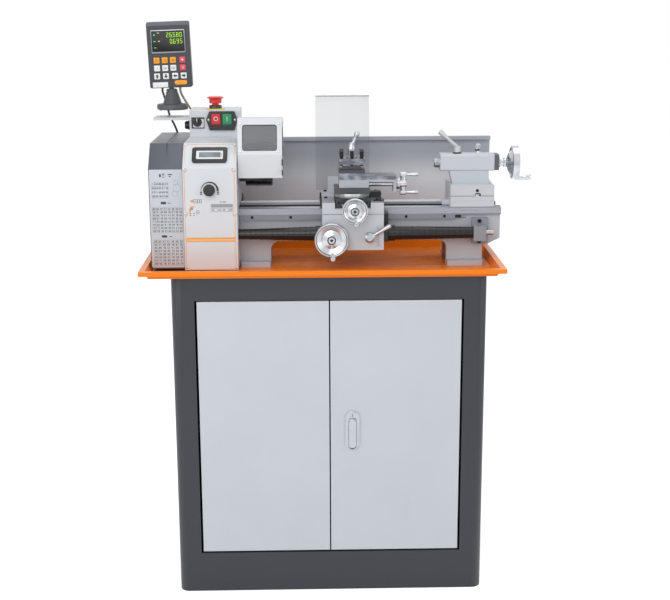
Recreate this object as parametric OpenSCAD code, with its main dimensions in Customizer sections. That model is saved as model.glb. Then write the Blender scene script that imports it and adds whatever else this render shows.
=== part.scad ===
// Benchtop metal lathe on its cabinet stand, with chip tray and digital readout.
// X runs along the bed to the tailstock, +Y away from the operator, +Z up.
// The origin lies on the floor under the spindle axis, just right of the chip tray's middle.

/* [Stand] */
// Width of the cabinet
stand_w = 704; // [640:2:760]
// Depth of the cabinet
stand_d = 350; // [320:2:352]
// Height of the cabinet
stand_h = 750; // [650:5:850]
// X of the cabinet's middle
stand_shift = 8; // [0:1:15]
// Radius of the upright corners
stand_r = 22; // [10:1:30]
// Thickness of the folded sheet
sheet = 2; // [1.5:0.5:3]
// Width of the door opening
door_open_w = 600; // [540:5:610]
// Height of the door opening
door_open_h = 602; // [500:2:610]
// Height of the opening's lower edge above the floor
door_open_z = 95; // [60:5:110]
// Thickness of a door
door_t = 16; // [12:1:20]
// Gap beside a door at its hinge edge
door_gap = 5; // [4:0.5:7]
// Height of the shelf above the floor
shelf_z = 395; // [200:5:500]

/* [Chip tray] */
// Width of the tray
tray_w = 808; // [780:2:860]
// X of the tray's middle
tray_mid = -6; // [-10:1:0]
// Y of the tray's front edge
tray_front = -204; // [-220:1:-196]
// Y of the tray's back edge
tray_back = 172; // [160:1:180]
// Height of the rim above the tray's underside
tray_rise = 19; // [15:1:30]
// Width of the flat lip
tray_lip = 13; // [10:1:18]
// How far the walls flare outwards
tray_flare = 8; // [4:1:12]
// Height of the splash sheet behind the tray
splash_h = 272; // [220:2:300]

/* [Bed] */
// Height of the bed from the tray floor to the flat ways
bed_h = 132; // [120:1:150]
// Half the width of the bed across the ways
bed_half = 62; // [58:1:66]
// X of the bed's right end
bed_x1 = 403; // [395:1:420]
// Height of the V ridges
ridge_h = 3; // [2:0.5:3]
// X of the left edge of the right foot
foot_x0 = 280; // [270:1:290]
// Width of the right foot
foot_w = 82; // [70:1:90]
// X of the right edge of the left foot
arch_x0 = -123; // [-135:1:-110]
// Pitch of the rack's screws
rack_screw_pitch = 87.7; // [80:0.1:95]

/* [Headstock] */
// Height of the spindle axis above the flat ways
centre_h = 95; // [93:0.5:100]
// X of the headstock's left face
head_x0 = -314; // [-316:1:-312]
// X of the headstock's right face
head_x1 = -195; // [-197:1:-194]
// Y of the control panel's face
panel_y = -125; // [-130:1:-122]
// Radius of the spindle's journals
spindle_r = 15; // [13:0.5:16]
// Radius of the hole through the spindle
spindle_bore = 10.5; // [8:0.5:11]
// Radius of the chuck
chuck_r = 50; // [45:1:52]
// Length of the chuck body
chuck_len = 62; // [58:1:64]
// X of the gear cover's left wall
cover_x0 = -390; // [-394:1:-389]

/* [Drive] */
// Module of the gears
gear_m = 2; // [2]
// Teeth of the spindle gear
teeth_spindle = 20; // [20]
// Teeth of the stud gear
teeth_stud = 62; // [62]
// Teeth of the leadscrew gear
teeth_screw = 30; // [30]
// Width of the gears
gear_w = 10; // [8:0.5:11]
// Radius of the spindle pulley
pulley_r = 34; // [30:1:38]
// Radius of the motor pulley
motor_pulley_r = 15; // [12:1:18]
// Radius of the motor
motor_r = 52; // [45:1:54]
// Length of the motor
motor_len = 112; // [100:2:112]

/* [Leadscrew] */
// Y of the leadscrew
screw_y = -83; // [-83.5:0.5:-82]
// Height of the leadscrew below the ways
screw_drop = 54; // [53:0.5:55]
// Radius of the leadscrew
screw_r = 8; // [7:0.5:9]
// Radius of the bellows tubes at the apron
tube_r = 17.5; // [15:0.5:17.5]

/* [Carriage] */
// X of the carriage's left side
car_x0 = -6; // [-8:1:-4]
// Width of the carriage
car_w = 137; // [134:1:140]
// Y of the apron's face
apron_y = -128; // [-132:1:-126]
// Height of the apron
apron_h = 81; // [76:1:84]
// Radius of the carriage handwheel
apron_wheel_r = 38; // [34:1:40]
// Radius of the cross-feed handwheel
cross_wheel_r = 29; // [25:1:30]
// Width of the cross slide
cross_w = 76; // [72:1:77]
// Length of the cross slide
cross_len = 155; // [145:1:160]
// Size of the four-way tool post
post_s = 58; // [54:1:60]
// Height of the tool slots
slot_h = 12; // [10:0.5:14]
// Depth of the tool slots
slot_d = 9; // [7:0.5:12]
// Length of the top slide
top_len = 126; // [120:1:130]
// Height of the splash shield's upright part
shield_h = 126; // [110:2:140]

/* [Tailstock] */
// X of the tailstock body's left face
tail_x0 = 267; // [265:1:270]
// Length of the tailstock body
tail_len = 124; // [118:1:126]
// Radius of the quill
quill_r = 10.5; // [10:0.5:12]
// Radius of the tailstock handwheel
tail_wheel_r = 38; // [34:1:38]

/* [Readout] */
// Width of the readout
dro_w = 99; // [90:1:104]
// Height of the readout
dro_h = 152; // [140:1:156]
// Depth of the readout
dro_d = 28; // [22:1:32]
// Lean of the readout, in degrees
dro_lean = 2; // [0:0.5:4]

/* [Fits] */
// Radial clearance of a turning or sliding fit
fit = 0.05; // [0.03:0.01:0.08]
// Space between pieces that move past each other
gap = 0.3; // [0.25:0.05:0.5]

/* [Hidden] */
$fn = 48;

// Heights that everything hangs on
floor_z = stand_h + sheet;
rim_z = stand_h + tray_rise;
way_z = floor_z + bed_h;
axis_z = way_z + centre_h;

// Colours
slate = [0.27, 0.29, 0.32];
offwhite = [0.90, 0.91, 0.92];
casting = [0.78, 0.80, 0.82];
door_grey = [0.79, 0.81, 0.84];
orange = [0.96, 0.50, 0.06];
steel = [0.72, 0.74, 0.76];
black = [0.08, 0.08, 0.09];
dark_steel = [0.33, 0.34, 0.36];

// ---------- basic shapes ----------

// A box between two corners
module bx(x0, x1, y0, y1, z0, z1) {
  translate([x0, y0, z0]) cube([x1 - x0, y1 - y0, z1 - z0]);
}

// A cylinder along X, Y or Z
module xcyl(x0, x1, y, z, r) {
  translate([x0, y, z]) rotate([0, 90, 0]) cylinder(r = r, h = x1 - x0);
}
module ycyl(x, z, y0, y1, r) {
  translate([x, y0, z]) rotate([-90, 0, 0]) cylinder(r = r, h = y1 - y0);
}
module zcyl(x, y, z0, z1, r) {
  translate([x, y, z0]) cylinder(r = r, h = z1 - z0);
}

// Extrudes a Y-Z outline along X
module along_x(x0, x1) {
  translate([x0, 0, 0]) rotate([90, 0, 90]) linear_extrude(x1 - x0) children();
}

// Extrudes an X-Z outline along Y
module along_y(y0, y1) {
  translate([0, y1, 0]) rotate([90, 0, 0]) linear_extrude(y1 - y0) children();
}

// Revolves an outline of [radius, distance] about a line along X, Y or Z
module lathe_x(x, y, z) {
  translate([x, y, z]) rotate([0, 90, 0]) rotate_extrude() children();
}
module lathe_y(x, y, z) {
  translate([x, y, z]) rotate([-90, 0, 0]) rotate_extrude() children();
}
module lathe_z(x, y, z) {
  translate([x, y, z]) rotate_extrude() children();
}

// A rectangle with true round corners
module rrect(x0, x1, y0, y1, r) {
  translate([x0 + r, y0]) square([x1 - x0 - 2 * r, y1 - y0]);
  translate([x0, y0 + r]) square([x1 - x0, y1 - y0 - 2 * r]);
  for (x = [x0 + r, x1 - r], y = [y0 + r, y1 - r]) translate([x, y]) circle(r);
}

// Mitred offset of an open line of points, to its left
function unit(v) = v / norm(v);
function left(v) = [-v[1], v[0]];
function seg_dir(p, i) = unit(p[i + 1] - p[i]);
function mitre(p, i, t) =
  i == 0 ? p[0] + t * left(seg_dir(p, 0)) :
  i == len(p) - 1 ? p[i] + t * left(seg_dir(p, i - 1)) :
  let (a = seg_dir(p, i - 1), b = seg_dir(p, i), m = unit(left(a) + left(b)))
  p[i] + t * m / (m * left(b));
function offset_line(p, t) = [for (i = [0:len(p) - 1]) mitre(p, i, t)];

// A folded sheet seen on edge: the line and its offset, closed
module band(p, t) {
  q = offset_line(p, t);
  polygon(concat(p, [for (i = [len(q) - 1:-1:0]) q[i]]));
}

// Outline of a spur gear with straight-sided teeth
module gear_outline(teeth, m, turn = 0, backlash = 0.35) {
  pitch_r = teeth * m / 2;
  root_r = pitch_r - 1.2 * m;
  tip_r = pitch_r + 0.9 * m;
  step = 360 / teeth;
  half_pitch = (m * PI / 2 - backlash) / 2;
  function at(r, w, a) = let (d = asin(w / r)) [r * cos(a + d), r * sin(a + d)];
  polygon([for (i = [0:teeth - 1]) let (a = turn + i * step) each [
    at(root_r, -half_pitch * 1.45, a), at(tip_r, -half_pitch * 0.55, a),
    at(tip_r, half_pitch * 0.55, a), at(root_r, half_pitch * 1.45, a)]]);
}

// Outline of a belt's outer or inner edge round two pulleys
module belt_outline(c1, r1, c2, r2) {
  v = c2 - c1;
  phi = atan2(v[1], v[0]);
  beta = acos((r1 - r2) / norm(v));
  function on(c, r, a) = c + r * [cos(a), sin(a)];
  translate(c1) circle(r1);
  translate(c2) circle(r2);
  polygon([on(c1, r1, phi + beta), on(c1, r1, phi - beta),
           on(c2, r2, phi - beta), on(c2, r2, phi + beta)]);
}

// A tapered block: a rectangle that widens evenly from z0 to z1
module flared(x0, x1, y0, y1, z0, z1, flare) {
  h = z1 - z0;
  intersection() {
    along_x(x0 - flare, x1 + flare) polygon([[y0, z0], [y1, z0], [y1 + flare, z1], [y0 - flare, z1]]);
    along_y(y0 - flare, y1 + flare) polygon([[x0, z0], [x1, z0], [x1 + flare, z1], [x0 - flare, z1]]);
  }
}

// ---------- stand ----------

stand_y0 = -stand_d / 2;
open_x0 = stand_shift - door_open_w / 2;
open_x1 = stand_shift + door_open_w / 2;
open_z1 = door_open_z + door_open_h;
flange_d = 20;
door_inset = 1;
door_y0 = stand_y0 + door_inset;
door_z0 = door_open_z + 4;
door_z1 = open_z1 - 2.5;
door_skin = 1.5;
split_gap = 3;
pin_r = 3;
pin_in = 13;
pin_deep = 9;
pin_y = door_y0 + pin_deep;
pin_xl = open_x0 + door_gap + pin_in;
pin_xr = open_x1 - door_gap - pin_in;
block_h = 14;
anchor_dx = 600;
anchor_dy = 260;
anchor_r = 5.5;
bolt_r = 4;
bolt_hole_r = 4.4;
toe_y = 76;
toe_h = 12;
bolt_y = 66;
left_toe_w = 69;
bolt_xs = [arch_x0 - left_toe_w / 2, foot_x0 + foot_w / 2];

module stand_outline(inset) {
  rrect(stand_shift - stand_w / 2 + inset, stand_shift + stand_w / 2 - inset,
        stand_y0 + inset, -stand_y0 - inset, stand_r - inset);
}

module cabinet_body() color(slate) {
  difference() {
    linear_extrude(stand_h) stand_outline(0);
    translate([0, 0, sheet]) linear_extrude(stand_h - 2 * sheet) stand_outline(sheet);
    bx(open_x0, open_x1, stand_y0 - 1, stand_y0 + stand_r, door_open_z, open_z1);
    for (x = [-1, 1], y = [-1, 1])
      zcyl(stand_shift + x * anchor_dx / 2, y * anchor_dy / 2, -1, sheet + 1, anchor_r);
    for (x = bolt_xs, y = [-bolt_y, bolt_y])
      zcyl(x, y, stand_h - sheet - 1, stand_h + 1, bolt_hole_r);
  }
  // Flange folded in round the door opening
  difference() {
    bx(open_x0 - sheet, open_x1 + sheet, stand_y0 + sheet / 2, stand_y0 + flange_d,
       door_open_z - sheet, open_z1 + sheet);
    bx(open_x0, open_x1, stand_y0, stand_y0 + flange_d + 1, door_open_z, open_z1);
  }
  // Hinge pins
  for (x = [pin_xl, pin_xr]) {
    zcyl(x, pin_y, door_open_z - 1, door_z0 + block_h - 2, pin_r);
    zcyl(x, pin_y, door_z1 - block_h + 2, open_z1 + 1, pin_r);
  }
  // Shelf with its front lip
  bx(stand_shift - stand_w / 2 + sheet / 2, stand_shift + stand_w / 2 - sheet / 2,
     stand_y0 + 40, -stand_y0 - sheet / 2, shelf_z, shelf_z + sheet);
  bx(stand_shift - stand_w / 2 + sheet / 2, stand_shift + stand_w / 2 - sheet / 2,
     stand_y0 + 40, stand_y0 + 40 + sheet, shelf_z - 18, shelf_z + 1);
}

// A door: a folded pan that hangs on two pins near its outer edge
module door(x0, x1, pin_x) {
  difference() {
    union() {
      difference() {
        bx(x0, x1, door_y0, door_y0 + door_t, door_z0, door_z1);
        bx(x0 + door_skin, x1 - door_skin, door_y0 + door_skin, door_y0 + door_t + 1,
           door_z0 + door_skin, door_z1 - door_skin);
      }
      for (z = [door_z0, door_z1 - block_h])
        bx(pin_x - 8, pin_x + 8, door_y0 + 0.5, door_y0 + door_t - 1, z, z + block_h);
    }
    zcyl(pin_x, pin_y, door_z0 - 1, door_z0 + block_h + 1, pin_r + fit);
    zcyl(pin_x, pin_y, door_z1 - block_h - 1, door_z1 + 1, pin_r + fit);
  }
}

module door_left() color(door_grey)
  door(open_x0 + door_gap, stand_shift - split_gap / 2, pin_xl);

module door_right() color(door_grey)
  door(stand_shift + split_gap / 2, open_x1 - door_gap, pin_xr);

latch_x = 58.9;
latch_z = 391.5;
latch_w = 34;
latch_h = 93;
plate_t = 4;
lever_w = 15;
lever_len = 70;
latch_pin_z = latch_z + 26;
latch_pin_y = door_y0 - plate_t + 0.5;

module pill(x, z, w, h) rrect(x - w / 2, x + w / 2, z - h / 2, z + h / 2, w / 2 - 1);

module latch_plate() color(steel) difference() {
  union() {
    along_y(door_y0 - plate_t + 1.2, door_y0) pill(latch_x, latch_z, latch_w, latch_h);
    along_y(door_y0 - plate_t, door_y0 - 2) pill(latch_x, latch_z, latch_w - 4, latch_h - 4);
  }
  along_y(door_y0 - plate_t - 1, door_y0 - 1) pill(latch_x, latch_z - 6, lever_w + 4, 75);
}

module latch_lever() color(steel) {
  xcyl(latch_x - lever_w / 2 - gap, latch_x + lever_w / 2 + gap, latch_pin_y, latch_pin_z, 1.6);
  along_y(latch_pin_y - 1.6, latch_pin_y + 1.6)
    rrect(latch_x - lever_w / 2, latch_x + lever_w / 2, latch_pin_z - lever_len + 3, latch_pin_z, 7);
}

// ---------- chip tray ----------

tray_x0 = tray_mid - tray_w / 2;
tray_x1 = tray_mid + tray_w / 2;
pocket_y0 = tray_front + tray_lip + tray_flare;
pocket_y1 = tray_back - tray_lip - tray_flare;
pocket_x0 = tray_x0 + tray_lip + tray_flare;
pocket_x1 = tray_x1 - tray_lip - tray_flare;
lip_h = 10;

module chip_tray() color(orange) difference() {
  union() {
    flared(pocket_x0 - sheet, pocket_x1 + sheet, pocket_y0 - sheet, pocket_y1 + sheet,
           stand_h, rim_z, tray_flare);
    difference() {
      bx(tray_x0, tray_x1, tray_front, tray_back, rim_z - lip_h, rim_z);
      bx(tray_x0 + sheet, tray_x1 - sheet, tray_front + sheet, tray_back - sheet,
         rim_z - lip_h - 1, rim_z - sheet);
    }
  }
  flared(pocket_x0, pocket_x1, pocket_y0, pocket_y1, floor_z, rim_z, tray_flare);
  bx(pocket_x0 - tray_flare, pocket_x1 + tray_flare, pocket_y0 - tray_flare,
     pocket_y1 + tray_flare, rim_z - 0.01, rim_z + 1);
  for (x = bolt_xs, y = [-bolt_y, bolt_y]) zcyl(x, y, stand_h - 1, floor_z + 1, bolt_hole_r);
}

splash_x0 = -190;
splash_x1 = 407;
splash_t = 1.5;
splash_hem = 11;

module backsplash() color([0.66, 0.69, 0.73]) difference() {
  along_x(splash_x0, splash_x1)
    band([[tray_back, stand_h + 6], [tray_back, stand_h + splash_h],
          [tray_back - splash_hem, stand_h + splash_h], [tray_back - splash_hem, stand_h + splash_h - 7]],
         -splash_t);
  for (x = [-140, 108, 356])
    ycyl(x, rim_z - 5, tray_back - 1, tray_back + splash_t + 1, 2.5);
}

// Hexagon bolts that go up through the cabinet and tray into the feet
module mounting_bolts() color(steel) for (x = bolt_xs, y = [-bolt_y, bolt_y]) {
  zcyl(x, y, stand_h - sheet - 2, floor_z + toe_h - 3, bolt_r);
  zcyl(x, y, stand_h - sheet - 1.6, stand_h - sheet, 8.5);
  translate([x, y, stand_h - sheet - 7]) cylinder(r = 7.5, h = 5.5, $fn = 6);
}

// ---------- bed ----------

bed_x0 = head_x0 + 1;
web_y = 55;
web_t = 10;
arch_h = 57;
arch_r = 20;
ridge_y = 46;
ridge_half = 6;
rail_in = 30;
rack_z = way_z - 18;
rack_h = 10;
rack_x0 = head_x1 + 2;
rack_x1 = 300;
rack_pitch = 2 * PI;
rack_teeth = floor((rack_x1 - rack_x0) / rack_pitch);

// One rail with its V ridge, grown by g on its upper side
module rail_outline(side, g = 0) scale([side, 1])
  polygon([[-bed_half, way_z - 16], [-bed_half, way_z + g],
           [-ridge_y - ridge_half, way_z + g], [-ridge_y, way_z + ridge_h + g],
           [-ridge_y + ridge_half, way_z + g], [-rail_in, way_z + g],
           [-rail_in, way_z - 12], [-rail_in - 12, way_z - 16]]);

module web_outline() difference() {
  polygon([[bed_x0, floor_z], [bed_x0, way_z - 13], [bed_x1 - 1, way_z - 13],
           [bed_x1 - 1, floor_z + arch_h + 3], [bed_x1 - 30, floor_z + arch_h - 11],
           [foot_x0 + foot_w, floor_z + arch_h - 11], [foot_x0 + foot_w, floor_z]]);
  rrect(arch_x0, foot_x0, floor_z - 40, floor_z + arch_h, arch_r);
}

module rack_outline() {
  translate([rack_x0, rack_z - rack_h + 3]) square([rack_x1 - rack_x0, rack_h - 0.5]);
  for (i = [0:rack_teeth - 1]) translate([rack_x0 + (i + 0.5) * rack_pitch, rack_z - rack_h + 3.5])
    polygon([[-2.2, 0], [-0.9, -3.9], [0.9, -3.9], [2.2, 0]]);
}

module bed() color(casting) difference() {
  union() {
    for (s = [-1, 1]) {
      along_x(bed_x0, bed_x1) rail_outline(s);
      along_y(s * web_y - (s > 0 ? web_t : 0), s * web_y + (s < 0 ? web_t : 0)) web_outline();
    }
    // Cross ribs under the slot, and the end walls of the two feet
    for (x = [arch_x0 + 70, arch_x0 + 150, arch_x0 + 230, arch_x0 + 310, bed_x1 - 9])
      bx(x, x + 8, -web_y + 1, web_y - 1, floor_z + arch_h + 5, way_z - 24);
    for (x = [arch_x0 - 10, foot_x0, foot_x0 + foot_w - 10])
      bx(x, x + 10, -web_y + 1, web_y - 1, floor_z, floor_z + arch_h + 12);
    bx(bed_x0, bed_x0 + 10, -web_y + 1, web_y - 1, floor_z, way_z - 14);
    // Toe flanges
    translate([0, 0, floor_z]) linear_extrude(toe_h) {
      rrect(foot_x0, foot_x0 + foot_w, -toe_y, toe_y, 4);
      rrect(arch_x0 - left_toe_w, arch_x0, -toe_y, toe_y, 4);
    }
    along_y(-bed_half, -web_y + 1) rack_outline();
  }
  for (x = bolt_xs, y = [-bolt_y, bolt_y]) zcyl(x, y, floor_z - 1, floor_z + toe_h - 2.5, bolt_hole_r);
  for (i = [0:5]) ycyl(-165 + i * rack_screw_pitch, rack_z - 1.5, -bed_half - 1, -bed_half + 3, 2.6);
}

// ---------- headstock ----------

cast_x0 = head_x0 + sheet;
cast_x1 = head_x1 - sheet;
head_top = axis_z + 54;
bearing_r = 31;
bearing_w = 16;
screw_z = way_z - screw_drop;
motor_y = 122;
motor_z = axis_z - 129;
motor_x0 = cast_x0 + 6;
rod_y = 40;
rod_z = axis_z + 41;
rod_r = 6;
box_y0 = 75;
box_y1 = 180;
box_z0 = way_z + 31;

// The stud gear's centre, placed so it meshes with both of its neighbours
spindle_c = [0, axis_z];
screw_c = [screw_y, screw_z];
mesh_1 = gear_m * (teeth_spindle + teeth_stud) / 2;
mesh_2 = gear_m * (teeth_stud + teeth_screw) / 2;
span = norm(screw_c - spindle_c);
along = (mesh_1 * mesh_1 - mesh_2 * mesh_2 + span * span) / (2 * span);
aside = sqrt(mesh_1 * mesh_1 - along * along);
stud_c = spindle_c + along * unit(screw_c - spindle_c) + aside * left(unit(screw_c - spindle_c));
stud_r = 8;

// Turns that bring the teeth into mesh
angle_1 = atan2(stud_c[1] - spindle_c[1], stud_c[0] - spindle_c[0]);
part_1 = angle_1 * teeth_spindle / 360;
turn_stud = angle_1 + 180 - (0.5 - part_1) * 360 / teeth_stud;
angle_2 = atan2(screw_c[1] - stud_c[1], screw_c[0] - stud_c[0]);
part_2 = (angle_2 - turn_stud) * teeth_stud / 360;
turn_screw = angle_2 + 180 - (0.5 - part_2) * 360 / teeth_screw;

gear_x0 = cast_x0 - 22;
gear_x1 = gear_x0 + gear_w;
belt_x0 = gear_x0 - 22;
belt_w = 12;

module headstock() color(casting) difference() {
  union() {
    bx(cast_x0, cast_x1, -bed_half, bed_half, way_z, head_top);
    // Plate that carries the motor
    along_x(cast_x0, motor_x0)
      polygon([[60, way_z + 3], [60, way_z + 100], [box_y0, way_z + 100], [box_y0, box_z0],
               [box_y1 - 8, box_z0], [box_y1 - 8, motor_z - 55], [bed_half + 2, motor_z - 55],
               [bed_half + 2, way_z + 3]]);
    bx(cast_x0 + 20, cast_x1 - 12, bed_half - 1, box_y0, way_z + 40, way_z + 100);
    // Stud for the middle gear
    xcyl(gear_x1 + gap, cast_x0 + 1, stud_c[0], stud_c[1], stud_r + 5);
    xcyl(gear_x0 - 1, gear_x1 + 1, stud_c[0], stud_c[1], stud_r);
    xcyl(gear_x0 - gap - 3, gear_x0 - gap, stud_c[0], stud_c[1], stud_r + 3);
  }
  for (s = [-1, 1]) along_x(cast_x0 - 1, cast_x1 + 1) rail_outline(s);
  bx(cast_x0 + bearing_w, cast_x1 - bearing_w, -bed_half + 12, bed_half - 12,
     way_z + 14, head_top + 1);
  xcyl(cast_x0 - 1, cast_x1 + 1, 0, axis_z, bearing_r);
  xcyl(cast_x1 - bearing_w - 1, cast_x1 + 1, rod_y, rod_z, rod_r + fit);
  xcyl(cast_x0 - 1, motor_x0 + 1, motor_y, motor_z, 20);
}

module spindle_bearings() color(steel) for (x = [cast_x0, cast_x1 - bearing_w])
  lathe_x(x, 0, axis_z) difference() {
    translate([spindle_r + fit, 0]) square([bearing_r - spindle_r - fit, bearing_w]);
    for (z = [-0.01, bearing_w - 1.5])
      translate([spindle_r + 4.5, z]) square([bearing_r - spindle_r - 9, 1.51]);
  }

slope_z = axis_z + 6;
slope_y = -70;
cover_low = floor_z + 5;
panel_outline = [[panel_y, cover_low], [panel_y, slope_z], [slope_y, head_top + sheet],
                 [box_y0, head_top + sheet]];

module head_cover() color(offwhite) difference() {
  union() {
    along_x(head_x0, head_x1) band(panel_outline, -sheet);
    for (x = [head_x0, head_x1 - sheet]) along_x(x, x + sheet)
      polygon(concat(panel_outline, [[box_y0, way_z + ridge_h], [-bed_half - 1, way_z + ridge_h],
                                     [-bed_half - 1, cover_low]]));
    // Bezel of the small display on the slope
    slope_box(-295, -214.6, 0.22, 0.84, 3);
  }
  slope_box(-288, -226, 0.35, 0.71, 4, 1.6);
  xcyl(head_x0 - 1, head_x0 + sheet + 1, 0, axis_z, 26);
  xcyl(head_x1 - sheet - 1, head_x1 + 1, 0, axis_z, 33);
  xcyl(head_x0 - 1, head_x0 + sheet + 1, stud_c[0], stud_c[1], stud_r + 6);
  xcyl(head_x0 - 1, head_x1 + 1, screw_y, screw_z, 13);
  xcyl(head_x1 - sheet - 1, head_x1 + 1, rod_y, rod_z, rod_r + 1);
  ycyl(speed_x, speed_z, panel_y - 1, panel_y + sheet + 1, 3.5 + fit);
}

// A block on the sloped panel, between two fractions of its height
module slope_box(x0, x1, f0, f1, t, up = -0.5) {
  a = panel_outline[1];
  b = panel_outline[2];
  n = left(unit(b - a));
  along_x(x0, x1) polygon([a + (b - a) * f0 + n * up, a + (b - a) * f1 + n * up,
                           a + (b - a) * f1 + n * t, a + (b - a) * f0 + n * t]);
}

speed_x = -256;
speed_z = axis_z - 42;
speed_r = 13;

module speed_knob() color(black) {
  lathe_y(speed_x, panel_y - 18, speed_z) difference() {
    polygon([[0, 0], [speed_r - 4, 0], [speed_r - 2.5, 1.5], [speed_r - 1.5, 11], [speed_r, 13],
             [speed_r, 17.6], [0, 17.6]]);
    translate([speed_r - 7, -1]) square([2, 1.6]);
  }
  bx(speed_x - 0.8, speed_x + 0.8, panel_y - 18.6, panel_y - 17, speed_z + 1, speed_z + speed_r - 3);
  ycyl(speed_x, speed_z, panel_y - 1, panel_y + 8, 3.5);
}

box_x0 = head_x0 + 1;
box_x1 = head_x1 - 1;
box_z1 = axis_z + 117;
shelf_x0 = head_x0 - 84;
shelf_top = axis_z + 100;
select_x = -294.5;
select_z = axis_z + 90.5;
start_x = -224.7;
stop_x = -250.8;
button_z0 = axis_z + 82.5;
button_z1 = axis_z + 109;
estop_x = -254;
estop_y = 112;
gland_z = shelf_top - 20;

module switch_box() color(offwhite) difference() {
  union() {
    difference() {
      bx(box_x0, box_x1, box_y0, box_y1, box_z0, box_z1);
      bx(box_x0 + sheet, box_x1 - sheet, box_y0 + sheet, box_y1 - sheet,
         box_z0 + sheet, box_z1 - sheet);
    }
    lathe_y(grey_end[0], box_y1, grey_end[2])
      polygon([[3.6, 0], [7, 0], [7, 5], [6, 8], [3.6, 8]]);
    // Bracket for the readout
    bx(shelf_x0, box_x0 + 1, 82, 150, shelf_top - 6, shelf_top);
  }
  ycyl(select_x, select_z, box_y0 - 1, box_y0 + 3, 3 + fit);
  bx(stop_x - 10, stop_x + 10, box_y0 - 1, box_y0 + 3, button_z0 + 3, button_z1 - 3);
  bx(start_x - 10, start_x + 10, box_y0 - 1, box_y0 + 3, button_z0 + 3, button_z1 - 3);
  zcyl(estop_x, estop_y, box_z1 - 3, box_z1 + 1, 8 + fit);
  xcyl(box_x0 - 1, box_x0 + 3, 110, gland_z, 7);
}

// Frames round the controls, the yellow ring of the stop and the cable glands
module switch_plates() {
  color(black) {
    difference() {
      bx(-308.6, -278.3, box_y0 - 1.2, box_y0, axis_z + 75, axis_z + 101);
      ycyl(select_x, select_z, box_y0 - 2, box_y0 + 1, 3 + fit);
    }
    difference() {
      along_y(box_y0 - 6, box_y0)
        polygon([[-274, axis_z + 96], [-266, axis_z + 71], [-208, axis_z + 71],
                 [-200.7, axis_z + 96], [-208, axis_z + 115], [-266, axis_z + 115]]);
      for (x = [stop_x, start_x])
        bx(x - 11.2, x + 11.2, box_y0 - 7, box_y0 + 1, button_z0 - 0.7, button_z1 + 0.7);
    }
    // Gland and its nut on the box's side
    lathe_x(box_x0 - 14, 110, gland_z)
      polygon([[4, 0], [8, 0], [9.5, 3], [9.5, 8], [11, 8], [11, 14], [4, 14]]);
    // Black base of the stop
    lathe_z(estop_x, estop_y, box_z1 + 2)
      polygon([[8.5, 0], [15, 0], [15, 6], [13.5, 7.5], [8.5, 7.5]]);
  }
  color([0.95, 0.80, 0.10]) lathe_z(estop_x, estop_y, box_z1)
    polygon([[8.5, 0], [22, 0], [22, 1], [21, 2], [8.5, 2]]);
}

module selector_knob() color(black) {
  lathe_y(select_x, box_y0 - 8, select_z)
    polygon([[0, 0], [9, 0], [10.5, 2], [10.5, 6.5], [0, 6.5]]);
  bx(select_x - 2.6, select_x + 2.6, box_y0 - 15, box_y0 - 7, select_z - 10, select_z + 10);
  ycyl(select_x, select_z, box_y0 - 2, box_y0 + 6, 3);
}

module push_button(x, tone) {
  color(tone) {
    bx(x - 10.7, x + 10.7, box_y0 - 8.5, box_y0 - 1.5, button_z0 - 0.2, button_z1 + 0.2);
    bx(x - 9.6, x + 9.6, box_y0 - 2, box_y0 + 5, button_z0 + 3.4, button_z1 - 3.4);
  }
}

module stop_button() push_button(stop_x, [0.80, 0.08, 0.08]);

module start_button() push_button(start_x, [0.05, 0.55, 0.20]);

module emergency_stop() color([0.80, 0.05, 0.05]) {
  lathe_z(estop_x, estop_y, box_z1 + 14)
    polygon([[0, 0], [13.5, 0], [14.5, 1], [14.5, 8], [16, 10.5], [20, 12.5], [20, 13.5],
             [16, 15.3], [0, 16]]);
  zcyl(estop_x, estop_y, box_z1 - 12, box_z1 + 15, 8);
}

// ---------- gear cover, motor and belt ----------

end_y0 = panel_y + 7;
end_y1 = box_y1 + 2;
end_outline = [[end_y0, floor_z + 7], [end_y0, axis_z + 5], [-66, axis_z + 56], [end_y1, axis_z + 56],
               [end_y1, floor_z + 48], [150, floor_z + 48], [150, floor_z + 7]];
end_inner = [[end_y0 + 2, floor_z + 9], [end_y0 + 2, axis_z + 4.2], [-65.3, axis_z + 54],
             [end_y1 - 2, axis_z + 54], [end_y1 - 2, floor_z + 50], [148, floor_z + 50],
             [148, floor_z + 9]];

module end_cover() color(slate) difference() {
  union() {
    difference() {
      along_x(cover_x0, head_x0) polygon(end_outline);
      along_x(cover_x0 + sheet, head_x0 + 1) polygon(end_inner);
    }
    lathe_x(cover_x0, 0, axis_z) polygon([[22, 0], [26, 0], [26, 8], [22, 8]]);
    // Tabs for the screws that hold it on
    for (z = [floor_z + 20, axis_z - 40])
      bx(head_x0 - 6, head_x0, end_y0 + 1, end_y0 + 22, z, z + 16);
    for (z = [floor_z + 8, axis_z + 40])
      bx(head_x0 - 6, head_x0, 92, 114, z, z + 15);
    // Gland for the readout's cable
    lathe_y(black_end[0], end_y1, black_end[2])
      polygon([[3.2, 0], [6.5, 0], [6.5, 5], [5.5, 8], [3.2, 8]]);
  }
  xcyl(cover_x0 - 1, cover_x0 + sheet + 1, 0, axis_z, 22);
  // Lower corner, cut back to clear the tray's sloping wall
  along_y(end_y0 - 1, end_y1 + 1)
    polygon([[tray_x0, floor_z], [pocket_x0 + gap, floor_z],
             [pocket_x0 - tray_flare + gap, rim_z], [tray_x0, rim_z]]);
}

shaft_x = belt_x0 - 4;

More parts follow.
